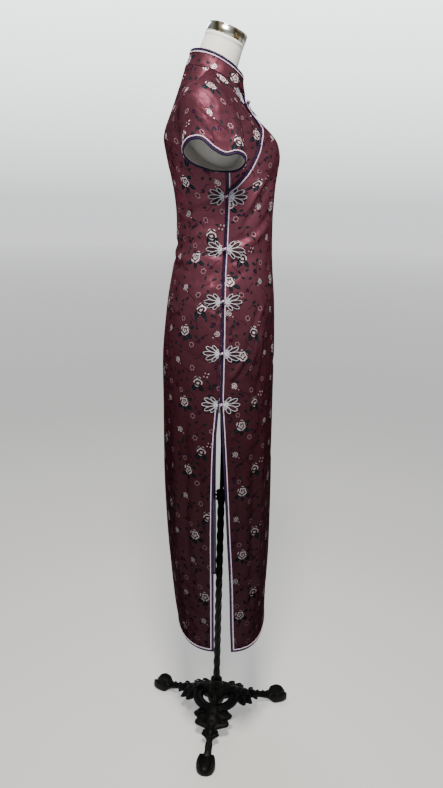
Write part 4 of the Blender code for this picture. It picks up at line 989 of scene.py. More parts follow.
MOTIF_LOOKS = {
    Motif.ROSE: MotifLook(
        (*lobed(2.5, 0.2, 0.8), ("mask", "LESS_THAN", "r", "edge"),
         ("ripple", "MULTIPLY", "turn", 5.0), ("ripple", "COSINE", "ripple"),
         ("swirl", "MULTIPLY_ADD", "r", 12.0, "turn"), ("swirl", "MULTIPLY_ADD", "ripple", 1.1, "swirl"),
         ("swirl", "SINE", "swirl"), ("tone", "MULTIPLY_ADD", "swirl", 0.5, 0.5)),
        ((0.0, "24131C"), (0.3, "4A2C38"), (0.46, "A58B96"), (0.66, "D6C9CF"), (1.0, "ECE2E6"))),
    Motif.SIDE_ROSE: MotifLook(
        (("low", "MULTIPLY_ADD", "y", -0.25, 0.95), *lobed(2.5, 0.24, 0.72, "SINE"),
         ("edge", "MULTIPLY", "edge", "low"),
         ("mask", "LESS_THAN", "r", "edge"), ("drop", "ADD", "y", 0.55),
         ("drop", "MULTIPLY", "drop", "drop"), ("cup", "MULTIPLY_ADD", "x", "x", "drop"),
         ("cup", "SQRT", "cup"), ("fan", "MULTIPLY", "turn", 3.0), ("fan", "SINE", "fan"),
         ("cup", "MULTIPLY", "cup", 11.0), ("cup", "MULTIPLY_ADD", "fan", 1.0, "cup"),
         ("cup", "SINE", "cup"), ("tone", "MULTIPLY_ADD", "cup", 0.5, 0.5)),
        ((0.0, "28161F"), (0.28, "4A303B"), (0.46, "A58C96"), (0.68, "D6C8CE"), (1.0, "E8DDE1"))),
    Motif.LEAF: MotifLook(
        (("bow", "MULTIPLY", "x", "x"), ("bow", "MULTIPLY_ADD", "bow", -0.42, 0.42),
         ("notch", "MULTIPLY", "x", 22.0), ("notch", "SINE", "notch"),
         ("bow", "MULTIPLY_ADD", "notch", 0.03, "bow"), ("side", "ABSOLUTE", "y"),
         ("mask", "LESS_THAN", "side", "bow"), ("tone", "LESS_THAN", "side", 0.05)),
        ((0.0, "1A2429"), (1.0, "3C4C52"))),
    Motif.BLOSSOM: MotifLook(
        (*lobed(2.5, 0.62, 0.38), ("mask", "LESS_THAN", "r", "edge"),
         ("tone", "LESS_THAN", "r", 0.22)),
        ((0.0, "2C1230"), (1.0, "6E3F5E"))),
    Motif.RING: MotifLook(
        (*lobed(3.0, 0.36, 0.64), ("mask", "LESS_THAN", "r", "edge"),
         ("tone", "DIVIDE", "r", "edge")),
        ((0.0, "A98790"), (0.2, "2A121E"), (0.42, "32182A"), (0.58, "6E3E4B"), (0.72, "7E4A57"),
         (0.86, "B4959D"), (1.0, "C4A8AF"))),
    Motif.BUD: MotifLook(
        (("mask", "LESS_THAN", "r", 1.0), ("tone", "LESS_THAN", "r", 0.66)),
        ((0.0, "3A1F2A"), (1.0, "DDBDC3"))),
    Motif.STEM: MotifLook(
        (("bend", "MULTIPLY", "x", 2.6), ("bend", "SINE", "bend"),
         ("bend", "MULTIPLY_ADD", "bend", -0.22, "y"), ("side", "ABSOLUTE", "bend"),
         ("line", "LESS_THAN", "side", 0.036), ("reach", "ABSOLUTE", "x"),
         ("reach", "LESS_THAN", "reach", 1.0), ("mask", "MULTIPLY", "line", "reach"),
         ("tone", "MULTIPLY", "mask", 0.0)),
        ((0.0, "26131C"), (1.0, "26131C"))),
}

REPEAT = (125.0, 152.0)
MOTIFS = tuple(MotifPlace(motif, *row) for motif, rows in (
    (Motif.STEM, ((14, 86, 17, 70), (50, 62, 16, 115), (98, 66, 17, 62), (72, 26, 16, 25),
                  (36, 112, 17, 130), (108, 112, 16, 80), (70, 142, 15, 20), (112, 22, 14, 120))),
    (Motif.LEAF, ((17, 29, 10, 205), (43, 29, 10, -30), (30, 24, 9, -95), (46, 47, 8, 25),
                  (58, 76, 12, -125), (72, 76, 12, -60), (103, 82, 6.5, 40), (92, 74, 6, 150),
                  (20, 101, 6, 60), (78, 148, 6, 10), (116, 100, 6, -60))),
    (Motif.ROSE, ((30, 40, 12.5, 12),)),
    (Motif.SIDE_ROSE, ((66, 91, 12, 8),)),
    (Motif.ROSE, ((104, 38, 6.6, 40), (14, 128, 7, 75))),
    (Motif.STEM, ((84, 99, 13, 28),)),
    (Motif.BUD, ((81, 100, 2.4), (88, 99, 2.6), (91, 106, 2.8), (84, 107, 2.2), (22, 120, 2), (96, 30, 2))),
    (Motif.BLOSSOM, ((9, 72, 5, 10), (93, 58, 4.8, 33), (66, 21, 4.8, 5), (30, 106, 4.8, 15),
                     (106, 121, 5, 26))),
    (Motif.RING, ((50, 12, 6, 20), (22, 64, 5.4, 0), (112, 76, 5.6, 40), (54, 116, 6, 10),
                  (92, 134, 5.4, 30))),
) for row in rows)


@dataclass(frozen=True)
class Scatter:
    """Small motifs strewn between the placed ones (mm; share is how many places bear one)."""

    motif: Motif
    spacing: float
    size: float
    share: float
    shift: float


SCATTERS = (
    Scatter(Motif.LEAF, 17.0, 5.4, 0.42, 3.1), Scatter(Motif.BLOSSOM, 9.5, 3.5, 0.5, 7.7),
    Scatter(Motif.RING, 34.0, 3.7, 0.45, 1.3))


@dataclass(frozen=True)
class Brocade:
    """Dusky rose satin with woven roses, leaves and sprigs, with painted shade by height.

    The painted shades give how much of the colour is left, by height over full_height: painted
    shade darkens the ground most towards the hem and a little at the top, the motifs less.
    """

    name: str = "Floral silk brocade"
    ground: str = "88505F"
    ground_shade: str = "6C3C4A"
    edge_sheen: str = "8A4A58"
    roughness: float = 0.47
    motif_matt: float = 0.15
    full_height: float = 1.7
    # painted shade by height: multipliers for the ground and for the motifs, darkest at the hem
    ground_painted_shades: tuple = ((0.265, "728680"), (0.38, "727E7A"), (0.48, "7C7C7A"), (0.61, "9C9C9C"),
                            (0.72, "D0D0D0"), (0.8, "E4E4E4"), (0.87, "B8BABA"))
    motif_painted_shades: tuple = ((0.265, "8C8C8C"), (0.45, "A8A8A8"), (0.66, "D8D8D8"), (0.85, "FFFFFF"))

    def motif_group(self, motif: Motif) -> NodeTree:
        """A node group that draws one motif on its unit plane."""
        look = MOTIF_LOOKS[motif]
        tree = bpy.data.node_groups.new(f"Motif {motif.value}", "ShaderNodeTree")
        tree.interface.new_socket("Plane", in_out="INPUT", socket_type="NodeSocketVector")
        tree.interface.new_socket("Colour", in_out="OUTPUT", socket_type="NodeSocketColor")
        tree.interface.new_socket("Mask", in_out="OUTPUT", socket_type="NodeSocketFloat")
        add = partial(add_node, tree)
        plane = add("NodeGroupInput").outputs["Plane"]
        parts = add("SeparateXYZ", {0: plane})
        known = {"x": parts.outputs[0], "y": parts.outputs[1]}
        known["r"] = add("VectorMath", {0: plane}, operation="LENGTH")
        known["turn"] = add("Math", {0: known["y"], 1: known["x"]}, operation="ARCTAN2")
        for name, operation, *terms in look.steps:
            inputs = {k: known.get(term, term) for k, term in enumerate(terms)}
            known[name] = add("Math", inputs, operation=operation)
        ramp = add("ValToRGB", {"Fac": known["tone"]}, stops=look.stops)
        add("NodeGroupOutput", {"Colour": ramp, "Mask": known["mask"]})
        return tree

    def make(self) -> Material:
        """Lay every motif of the repeat over the ground, then the weave and the finish."""
        material, add = new_material(self.name)
        flat = add("UVMap", uv_map="Cloth")
        place = add("TexCoord").outputs["Object"]
        height = add("SeparateXYZ", {0: place}).outputs[2]
        level = add("Math", {0: height, 1: self.full_height}, operation="DIVIDE")
        # painted shade by height: deep darkens the ground, soft darkens the motifs
        deep = add("ValToRGB", {"Fac": level}, stops=self.ground_painted_shades)
        soft = add("ValToRGB", {"Fac": level}, stops=self.motif_painted_shades)
        silk = add("TexNoise", {"Vector": flat, "Scale": 9.0, "Detail": 2.0})
        ground = add("Mix", {"Factor": silk, "A": self.ground, "B": self.ground_shade}, data_type="RGBA")
        colour = add("VectorMath", {0: ground, 1: deep}, operation="MULTIPLY")
        groups = {motif: self.motif_group(motif) for motif in Motif}
        half = (REPEAT[0] * MM / 2, REPEAT[1] * MM / 2, 0.5)
        raised = None
        planes = [(layer.motif, self.strewn_plane(add, flat, layer)) for layer in SCATTERS]
        for spot in MOTIFS:
            middle = (spot.x * MM, spot.y * MM, 0.0)
            moved = add("VectorMath", {0: flat, 1: middle}, operation="SUBTRACT")
            near = add("VectorMath", {0: moved, 1: half, 2: [-size for size in half]}, operation="WRAP")
            scale = 1 / (spot.size * MM)
            plane = add("Mapping", {"Vector": near, "Rotation": (0.0, 0.0, -math.radians(spot.angle)),
                                    "Scale": (scale, scale, 0.0)})
            planes.append((spot.motif, plane))
        for motif, plane in planes:
            drawn = add("Group", {"Plane": plane}, node_tree=groups[motif])
            mask = drawn.outputs["Mask"]
            colour = add("Mix", {"Factor": mask, "A": colour, "B": drawn.outputs["Colour"]},
                         data_type="RGBA")
            raised = mask if raised is None else add("Math", {0: raised, 1: mask}, operation="MAXIMUM")
        self.finish(add, flat, colour, raised, soft)
        return material

    def strewn_plane(self, add: Callable, flat: Node, layer: Scatter) -> Node:
        """The unit plane of the nearest strewn motif, turned at random and far off where none grows."""
        cell = 1 / (layer.spacing * MM)
        place = add("Mapping", {"Vector": flat, "Location": (layer.shift,) * 3, "Scale": (cell, cell, 0.0)})
        cells = add("TexVoronoi", {"Vector": place, "Scale": 1.0, "Randomness": 0.85},
                    voronoi_dimensions="2D")
        chance = add("SeparateXYZ", {0: cells.outputs["Color"]})
        near = add("VectorMath", {0: place, 1: cells.outputs["Position"]}, operation="SUBTRACT")
        bare = add("Math", {0: chance.outputs[0], 1: layer.share}, operation="GREATER_THAN")
        grown = add("Math", {0: bare, 1: 9.0, 2: layer.spacing / layer.size}, operation="MULTIPLY_ADD")
        turn = add("Math", {0: chance.outputs[1], 1: 2 * math.pi}, operation="MULTIPLY")
        turned = add("VectorRotate", {"Vector": near, "Angle": turn}, rotation_type="Z_AXIS")
        return add("VectorMath", {0: turned, "Scale": grown}, operation="SCALE")

    def finish(self, add: Callable, flat: Node, colour: Node, raised: Node, soft: Node) -> None:
        """Darken the motifs towards the hem with painted shade and add the weave, the relief and the gloss.
        """
        # soft is the motifs' painted shade by height, laid only where a motif is woven
        one = add("Mix", {"Factor": raised, "A": (1.0, 1.0, 1.0, 1.0), "B": soft}, data_type="RGBA")
        hem_shaded_colour = add("VectorMath", {0: colour, 1: one}, operation="MULTIPLY")
        threads = add("Mapping", {"Vector": flat, "Scale": (2500.0, 900.0, 1.0)})
        weave = add("TexNoise", {"Vector": threads, "Scale": 1.0, "Detail": 2.0})
        slack = add("TexNoise", {"Vector": flat, "Scale": 38.0, "Detail": 1.5})
        soft_bump = add("Bump", {"Height": slack, "Strength": 1.0, "Distance": 0.0045})
        bump = add("Bump", {"Height": weave, "Strength": 0.25, "Distance": 0.0002, "Normal": soft_bump})
        rough = add("MapRange", {"Value": raised, "To Min": self.roughness,
                                 "To Max": self.roughness + self.motif_matt})
        shader = add("BsdfPrincipled", {"Base Color": hem_shaded_colour, "Roughness": rough, "Metallic": 0.52,
                                        "Specular Tint": self.edge_sheen, "Specular IOR Level": 0.0,
                                        "Normal": bump})
        add("OutputMaterial", {"Surface": shader})


def make_finishes() -> dict:
    """Every finish by its short name."""
    finishes = {
        "brocade": Brocade(),
        "lining": SatinCloth("Grey cream lining", "A8A29C", "8F8983", 0.32),
        "binding": SatinCloth("Dark purple satin binding", "24103A", "150920", 0.45, 0.0, gloss=0.2),
        "piping": SatinCloth("Lilac satin piping", "DCC8DC", "C6AECB", gloss=0.3),
        "seam": SatinCloth("Seam cord", "3E2027", "301820", 0.6, 0.0, gloss=0.1),
        "cord": SatinCloth("Silver grey frog cord", "C8CCD4", "A6ACB8", 0.3, 0.1),
        # painted shade: the dark fill inside the frogs' petals
        "ground": SatinCloth("Painted shade inside frog petals", "3C222B", "28161D", 0.6, 0.0, gloss=0.1),
        # painted shade: the brocade's reverse is coloured near-black for the shade inside the dress
        "reverse": SatinCloth("Brocade reverse with painted shade", "2E1A20", "1E1014", 0.6, 0.0, gloss=0.1),
        "cover": SatinCloth("Off-white jersey cover", "F4F4EE", "EAEAE2", 0.85, 0.1),
        "cap": BrushedBrass(),
        "iron": Iron("Black painted steel", "020202", "060606", 0.46, 900.0, 0.05, 0.12),
        "cast": Iron("Black cast iron", "020202", "070706", 0.48, 420.0, 0.35, 0.16),
        "floor": StudioPaper(),
    }
    return {name: finish.make() for name, finish in finishes.items()}


# ---- the dress
@dataclass
class Maker:
    """What makes pieces that ride on the form, fitted to the dress's surface."""

    shape: DressShape
    finishes: dict

    def piece(self, name: str, mesh: Mesh, finish: str, node: str = "", slot: str = "") -> Object:
        """Add a piece of one finish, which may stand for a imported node."""
        return add_piece(name, mesh, Body.FORM, [self.finishes[finish]], [node] if node else ())


@dataclass
class Garment(Maker):
    """The panels, collar and sleeves with their two-tone trims."""

    columns: int = 116
    flap_columns: int = 45
    collar_grid: tuple = (161, 13)
    sleeve_grid: tuple = (120, 33)
    row_step: float = 0.0041
    collar_radius: float = 0.058
    collar_rise: float = 0.034
    sleeve_length: float = 0.11
    binding_lift: float = 0.75 * MM
    piping_height: float = 1.35 * MM
    piping_start: float = 0.6 * MM
    tuck: float = UNDERLAY_TUCK
    pattern_shift: dict = field(default_factory=lambda: {
        "front": (0.1, 0.1014), "back": (0.0529, 0.0533), "flap": (0.02, 0.05),
        "collar": (0.01, 0.03), "sleeve": (0.015, 0.0625)})

    def rises(self, lowest: float) -> Array:
        """Evenly spaced rows from a lowest rise to the shoulder, closer over the armhole."""
        below = np.linspace(lowest, 0.0, max(2, int(-lowest / self.row_step)))
        swing = np.linspace(0, math.pi, 49)[1:]
        return np.concatenate([below, ARMHOLE_RISE * (1 - np.cos(swing)) / 2])

    def taper(self, rises: Array) -> Array:
        """Grows from 0 at the slit's top to 1 a little below it."""
        return np.clip((SLIT_RISE - rises) / 0.004, 0, 1)

    def torso_panel(self, side: Side, shares: Array, rises: Array, shift: tuple) -> Panel:
        """A torso grid at the given shares, with its shoulder seams parted."""
        levels = np.repeat(rises[:, None], shares.shape[1], axis=1)
        points = self.shape.point(side, shares, levels)
        panel = Panel(points, self.shape.normal(side, shares, levels), flat_shift=shift,
                      flat_sense=(-side.value, 1), flat_shear=0.1 if side is Side.BACK else 0.0)
        return self.square_shoulder(panel, side, shares)

    def square_shoulder(self, panel: Panel, side: Side, shares: Array) -> Panel:
        """Part the shoulder seam evenly and let both walls meet it upright."""
        on_shoulder = np.abs(1 - 2 * shares[-1]) >= SHOULDER_SHARE - 0.001
        panel.points[-1, on_shoulder] += np.array([0, side.value * SEAM_GAP, 0])
        panel.normals[-1, on_shoulder] = np.array([0.0, 0.0, 1.0])
        return panel

    def front(self) -> Panel:
        """The whole front; its -X edge follows the overlap and then the side closure."""
        rises = self.rises(HEM_RISE + EDGE_INSET)
        shape, side = self.shape, Side.FRONT
        edge = np.where(rises < CLOSURE_RISE, 0.0, shape.overlap(rises))
        left = edge + shape.overlap_inset(rises, EDGE_INSET)
        seam = shape.share_step(side, 1.0, rises, SEAM_GAP / 2)
        slit = self.taper(rises) * shape.share_step(side, 1.0, rises, EDGE_INSET)
        right = np.where(rises > 0, 1.0, 1.0 - np.maximum(seam, slit))
        across = np.linspace(0, 1, self.columns + 1)
        shares = left[:, None] + (right - left)[:, None] * across
        return self.torso_panel(side, shares, rises, self.pattern_shift["front"])

    def back(self) -> Panel:
        """The whole back, with both slit edges below the seams."""
        rises = self.rises(HEM_RISE + EDGE_INSET)
        inset = np.maximum(SEAM_GAP / 2, self.taper(rises) * EDGE_INSET)
        margin = np.where(rises > 0, 0.0, self.shape.share_step(Side.BACK, 0.0, rises, inset))
        across = np.linspace(0, 1, self.columns + 1)
        shares = margin[:, None] + (1 - 2 * margin)[:, None] * across
        return self.torso_panel(Side.BACK, shares, rises, self.pattern_shift["back"])

    def flap(self) -> Panel:
        """The right-hand flap under the overlap, tucked a little way beneath the front."""
        rises = self.rises(UNDERLAY_START)
        shape = self.shape
        edge = np.where(rises < CLOSURE_RISE, 0.0, shape.overlap(rises))
        seam = np.where(rises > 0, 0.0, shape.share_step(Side.FRONT, 0.0, rises, SEAM_GAP / 2))
        tuck = np.minimum(np.maximum(edge + self.tuck, 0.12), 0.52)
        across = np.linspace(0, 1, self.flap_columns)
        shares = seam[:, None] + (tuck - seam)[:, None] * across
        levels = np.repeat(rises[:, None], shares.shape[1], axis=1)
        normals = shape.normal(Side.FRONT, shares, levels)
        panel = Panel(shape.flap_point(shares, levels, 0.0), normals, flat_shift=self.pattern_shift["flap"])
        return self.square_shoulder(panel, Side.FRONT, shares)

    def collar(self) -> Panel:
        """The stand collar, less the width of the binding at its free edges."""
        inset = BINDING_WIDTH + SEAM_GAP
        ends = (inset + SEAM_GAP) / (2 * math.pi * self.collar_radius)
        columns, rows = self.collar_grid
        turns, ups = np.meshgrid(np.linspace(ends, 1 - ends, columns),
                                 np.linspace(0.0, 1 - inset / self.collar_rise, rows))
        points = self.shape.collar_point(turns, ups)
        angle = turns * 2 * math.pi
        across = NECK_SEAM.half_depth * np.sin(angle)
        forward = NECK_SEAM.half_width * np.cos(angle)
        normals = unit(stacked(-across, -forward, 0.0))
        return Panel(points, normals, flat_shift=self.pattern_shift["collar"], flat_sense=(-1, 1))

    def sleeve(self, mirror: bool) -> Panel:
        """A cap sleeve from the armhole to its hem, mirrored for the other side."""
        sleeve = SleeveShape(self.shape)
        columns, rows = self.sleeve_grid
        inset = (BINDING_WIDTH + SEAM_GAP) / self.sleeve_length
        turn_grid, along_grid = np.meshgrid(np.arange(columns) / columns, np.linspace(0.0, 1 - inset, rows))
        points = sleeve.point(turn_grid, along_grid)
        normals = surface_normal(sleeve.point, turn_grid, np.clip(along_grid, 0.01, 0.99))
        if np.sum(normals * (points - points.mean(axis=1, keepdims=True))) < 0:
            normals = -normals
        if mirror:
            points, normals = points * np.array([-1, 1, 1]), normals * np.array([-1, 1, 1])
        sense = (1 if mirror else -1, -1)
        return Panel(points, normals, wrap=True, flat_shift=self.pattern_shift["sleeve"], flat_sense=sense)

    def trim(self, prefix: str, ladder: tuple, closed: bool = False, laid: bool = False,
             rest: float = SEAM_GAP) -> None:
        """Sew the dark binding and the pale piping along an edge.

        Args:
            prefix: the names' first word.
            ladder: the edge from Panel.ladder.
            closed: whether the edge runs round.
            laid: whether both lie on the cloth, side by side, instead of wrapping its edge.
            rest: how high the piping starts above the cloth.
        """
        binding_across = (-(SEAM_GAP + BINDING_WIDTH), -SEAM_GAP)
        binding_up = (-(CLOTH_WALL + self.binding_lift), self.binding_lift)
        start = self.piping_start
        if laid:
            binding_across = (2 * SEAM_GAP, 2 * SEAM_GAP + BINDING_WIDTH)
            binding_up = (SEAM_GAP, SEAM_GAP + self.piping_height)
            start = binding_across[1] + SEAM_GAP
        piping_up = (rest, rest + self.piping_height)
        binding = strip_mesh(f"{prefix}_binding", ladder, binding_across, binding_up, closed)
        piping = strip_mesh(f"{prefix}_piping", ladder, (start, start + PIPING_WIDTH), piping_up, closed)
        for word, mesh in (("binding", binding), ("piping", piping)):
            name = f"{prefix}_{word}"
            self.piece(f"satin_{name}", mesh, word, name, word)

    def build(self) -> None:
        """Cut and dress every cloth piece."""
        front, back, flap, collar = self.front(), self.back(), self.flap(), self.collar()
        # the inner face takes the near-black reverse, which is painted shade
        cloth = [self.finishes["brocade"], self.finishes["reverse"]]
        rows = len(front.points)
        self.cut("front_panel", front, cloth, (0.474, 1.344), 0.521)
        self.cut("back_panel", back, cloth, (0.496, 1.32), 0.556)
        self.cut("under_flap", flap, cloth, (0.219, 0.31), 0.0241)
        self.cut("collar", collar, cloth, (0.396, 0.027), 0.0097)
        rises = self.rises(HEM_RISE + EDGE_INSET)
        slit_row = int(np.sum(rises < SLIT_RISE - 0.002)) - 1
        self.trim("front", front.ladder(front.edge_path(rows - 1, slit_row)))
        self.trim("back", back.ladder(back.edge_path(slit_row, slit_row)))
        flap_rises = self.rises(UNDERLAY_START)
        rows = [row for row in range(len(flap_rises)) if CLOSURE_RISE + 0.004 < flap_rises[row] <= 0.0]
        self.trim("under_flap", flap.ladder([(row, 0, 0, 1) for row in rows]), laid=True)
        rows, columns = collar.points.shape[:2]
        path = [(row, 0, 0, 1) for row in range(0, rows - 1)]
        path.append((rows - 1, 0, -1, 1))
        path += [(rows - 1, column, -1, 0) for column in range(1, columns - 1)]
        path.append((rows - 1, columns - 1, -1, -1))
        path += [(row, columns - 1, 0, -1) for row in range(rows - 2, -1, -1)]
        self.trim("collar", collar.ladder(path))
        for name, mirror in (("right", False), ("left", True)):
            sleeve = self.sleeve(mirror)
            self.cut(f"sleeve_{name}", sleeve, cloth, (0.451, 0.153), 0.0283)
            lining = sleeve.cloth("lining", -(CLOTH_WALL + SEAM_GAP), 0.9 * MM)
            satin = [self.finishes["lining"], self.finishes["lining"]]
            piece = add_piece(f"satin_lining_{name}", lining, Body.FORM, satin,
                              [f"sleeve_lining_{name}"])
            hem = [(sleeve.points.shape[0] - 1, column, -1, 0) for column in range(sleeve.points.shape[1])]
            self.trim(f"sleeve_{name}", sleeve.ladder(hem, closed=True), closed=True, rest=3 * SEAM_GAP)

    def cut(self, node: str, panel: Panel, cloth: Sequence, flat: tuple, area: float) -> None:
        """Make one brocade piece."""
        piece = add_piece(f"silk_{node}", panel.cloth(node), Body.FORM, cloth, [node])


# The cap sleeve's soft drapes: turn, lean, reach (shares of the turn) and depth in mm.
SLEEVE_FOLDS = (
    (0.18, 0.1, 0.045, -2.0), (0.3, 0.06, 0.04, 2.6), (0.39, 0.03, 0.03, -2.2),
    (0.56, -0.05, 0.035, 2.2), (0.66, -0.08, 0.04, -2.4), (0.78, -0.06, 0.045, 1.8),
)


@dataclass
class SleeveShape:
    """The right cap sleeve's outer surface between the armhole and its opening."""

    dress: DressShape
    centre_y: float = 0.03
    half_depth: float = 0.06
    centre_x: float = 0.1985
    half_width: float = 0.0255
    head_pull: float = 0.055
    hem_pull: float = 0.045

    def folds(self, turn: Array, along: Array) -> Array:
        """How far the soft drapes of the cap push it out; zero at both its edges."""
        push = np.zeros(np.broadcast(turn, along).shape)
        for place, lean, reach, depth in SLEEVE_FOLDS:
            distance = (turn - place - lean * (along - 0.5)) / reach
            push = push + depth * MM * np.exp(-(distance**2))
        return (push * np.sin(math.pi * np.clip(along, 0, 1)) ** 1.2)[..., None]

    def point(self, turn: Number, along: Number) -> Array:
        """A point of the sleeve; along is 0 at the armhole and 1 at the hem."""
        turn, along = np.broadcast_arrays(np.asarray(turn, float), np.asarray(along, float))
        start = self.dress.armhole_point(turn) + np.array([-1.5 * SEAM_GAP, 0, SEAM_GAP])
        angle = (turn % 1.0) * 2 * math.pi
        x = -self.centre_x + self.half_width * np.cos(angle)
        y = self.centre_y - self.half_depth * np.sin(angle)
        end = stacked(x, y, self.dress.opening(turn % 1.0))
        outside = (1 - np.cos(angle))[..., None] / 2
        leave = np.array([-1.0, 0, -0.15]) * (self.head_pull * outside)
        leave = leave + (end - start) / 3 * (1 - outside)
        arrive = np.array([-0.18, 0, -1.0]) * (self.hem_pull * outside)
        arrive = arrive + (end - start) / 3 * (1 - outside)
        end = end + self.folds(turn % 1.0, along) * stacked(np.cos(angle), -np.sin(angle), 0.0)
        t = along[..., None]
        blend = (1 - t) ** 3 * start + 3 * (1 - t) ** 2 * t * (start + leave)
        return blend + 3 * (1 - t) * t**2 * (end - arrive) + t**3 * end


# The bust dart of the front, as shares of its width and heights.
DART = ((0.235, 1.435), (0.33, 1.418))


@dataclass
class Seams(Maker):
    """Fine seam cords that close the gaps between the pieces and mark the darts."""

    radius: float = 0.75 * MM

    def line(self, name: str, path: Array, radius: float, closed: bool = False) -> None:
        """Lay one seam cord."""
        self.piece(name, tube_mesh(name, path, radius, 8, closed), "seam")

    def build(self) -> None:
        """Lay the armhole, shoulder, side and dart seams."""
        armhole = self.shape.armhole_point(np.arange(160) / 160) + np.array([-0.5 * SEAM_GAP, 0, -0.4 * MM])
        for word, sign in (("right", 1), ("left", -1)):
            self.line(f"armhole_seam_{word}", armhole * np.array([sign, 1, 1]), self.radius, True)
            reach = np.linspace(SHOULDER_SHARE + 0.02, 0.985, 30)
            top = self.shape.top_row(Side.FRONT, reach) + np.array([0, 0, -0.5 * MM])
            self.line(f"shoulder_seam_{word}", top * np.array([sign, 1, 1]), self.radius * 0.8)
        rises = np.linspace(SLIT_RISE + 0.003, -0.004, 90)
        side = self.shape.lifted(Side.BACK, 1.0, rises, -0.6 * MM)
        self.line("side_seam_left", side, self.radius * 0.8)
        steps = np.linspace(0, 1, 24)
        for word, sign in (("right", 1), ("left", -1)):
            share = 0.5 - sign * (0.5 - DART[0][0] - (DART[1][0] - DART[0][0]) * steps)
            rise = DART[0][1] + (DART[1][1] - DART[0][1]) * steps - UNDERARM_HEIGHT
            dart = self.shape.lifted(Side.FRONT, share, rise, -0.35 * self.radius)
            self.line(f"bust_dart_{word}", dart, self.radius * 0.55)


# ---- frogs
@dataclass
class ClothPatch:
    """Lays (out, up, lift) places on the cloth round one point, out along an axis."""

    shape: DressShape
    side: Side
    share: float
    rise: float
    axis: Array
    shift: float
    sunk: bool = False

    def __post_init__(self) -> None:
        """Work out the axes on the cloth."""
        step = 0.0008
        origin = self.shape.point(self.side, self.share, self.rise)
        across = (self.shape.point(self.side, self.share + step, self.rise) - origin) / step
        above = self.shape.point(self.side, self.share, self.rise + step)
        below = self.shape.point(self.side, self.share, self.rise - step)
        normal = self.shape.normal(self.side, self.share, self.rise)
        self.out_axis = unit(self.axis - normal * (self.axis @ normal))
        self.up_axis = np.cross(normal, self.out_axis)
        if self.up_axis[2] < 0:
            self.up_axis = -self.up_axis
        self.solve = np.linalg.pinv(np.stack([across, (above - below) / (2 * step)], axis=1))

    def lay(self, places: Array) -> Array:
        """Points on the cloth for an array of (out, up, lift) places."""
        out, up, lift = places[..., 0], places[..., 1], places[..., 2]
        move = self.out_axis * (out + self.shift)[..., None] + self.up_axis * up[..., None]
        change = move @ self.solve.T
        share, rise = self.share + change[..., 0], self.rise + change[..., 1]
        if self.sunk:
            return self.shape.flap_point(share, rise, lift)
        return self.shape.lifted(self.side, share, rise, lift)


@dataclass(frozen=True)
class Petal:
    """A loop of cord in a wing's fan: its angle in degrees, length and width in mm."""

    angle: float
    length: float
    width: float


@dataclass
class FrogWing:
    """One fan of five corded petals with two curls at its root."""

    patch: ClothPatch
    low: float
    petals: tuple = (Petal(-50, 21, 6.4), Petal(-25, 30, 7.6), Petal(0, 33, 8.0), Petal(25, 30, 7.6),
                     Petal(50, 21, 6.4))
    start: float = 5.4 * MM
    cord: float = 0.54 * MM
    curl_radius: float = 3.6 * MM

    def petal_path(self, petal: Petal, scale: float = 1.0, lift: float = 0.0) -> Array:
        """A petal's loop, pointed at the root and round at its tip, as (out, up, lift)."""
        turn = np.linspace(0, 2 * math.pi, 41)
        length, width = petal.length * MM * scale, petal.width * MM / 2 * scale
        along = length * (1 - np.cos(turn)) / 2
        across = width * 1.3 * np.sin(turn) * np.abs(np.sin(turn / 2)) ** 1.1
        angle = math.radians(petal.angle)
        out = self.start + along * math.cos(angle) - across * math.sin(angle)
        up = along * math.sin(angle) + across * math.cos(angle)
        crown = 0.35 * MM * np.sin(turn / 2)
        return stacked(out, up, self.low + self.cord + lift + crown)

    def curl_path(self, sign: int) -> Array:
        """A curl of cord beside the knot, above or below it."""
        turn = np.linspace(0, 1, 34)
        angle = -0.35 * math.pi + turn * 2.7 * math.pi
        radius = self.curl_radius * (1 - 0.62 * turn)
        out = self.start + 3.4 * MM + radius * np.cos(angle)
        up = sign * (6.2 * MM + radius * np.sin(angle))
        return stacked(out, up, self.low + self.cord * (1 + 0.5 * turn))

    def paths(self) -> list:
        """All the cord's paths, laid on the cloth."""
        loops = [self.petal_path(petal) for petal in self.petals]
        loops += [self.petal_path(petal, 0.26, 0.5 * MM) for petal in self.petals]
        bundle = np.linspace(0, 1, 12)
        for up in (-2.6, -0.9, 0.9, 2.6):
            out = 4.5 * MM + bundle * 8 * MM
            level = self.low + self.cord * 1.7 + 0.6 * MM * np.sin(math.pi * bundle)
            spread = up * MM * (0.75 + 0.45 * bundle)
            loops.append(stacked(out, spread, level))
        loops += [self.curl_path(sign) for sign in (1, -1)]
        return [self.patch.lay(loop) for loop in loops]

    def petal_shade_fill(self, name: str) -> Mesh:
        """A dark padded fill inside the petals: painted shade where the cloth lies between the cords."""
        parts = []
        for petal in self.petals:
            outer = self.petal_path(petal, 0.9)[:-1]
            centre = outer.mean(axis=0)
            rings = []
            for share, level in ((1.0, 0.4 * self.low), (1.0, self.low + 0.4 * MM),
                                 (0.7, self.low + 0.7 * MM), (0.35, self.low + 0.9 * MM)):
                ring = centre + (outer - centre) * share
                ring[:, 2] = level
                rings.append(self.patch.lay(ring))
            parts.append(swept_mesh(name, np.array(rings)))
        return joined_mesh(name, parts)


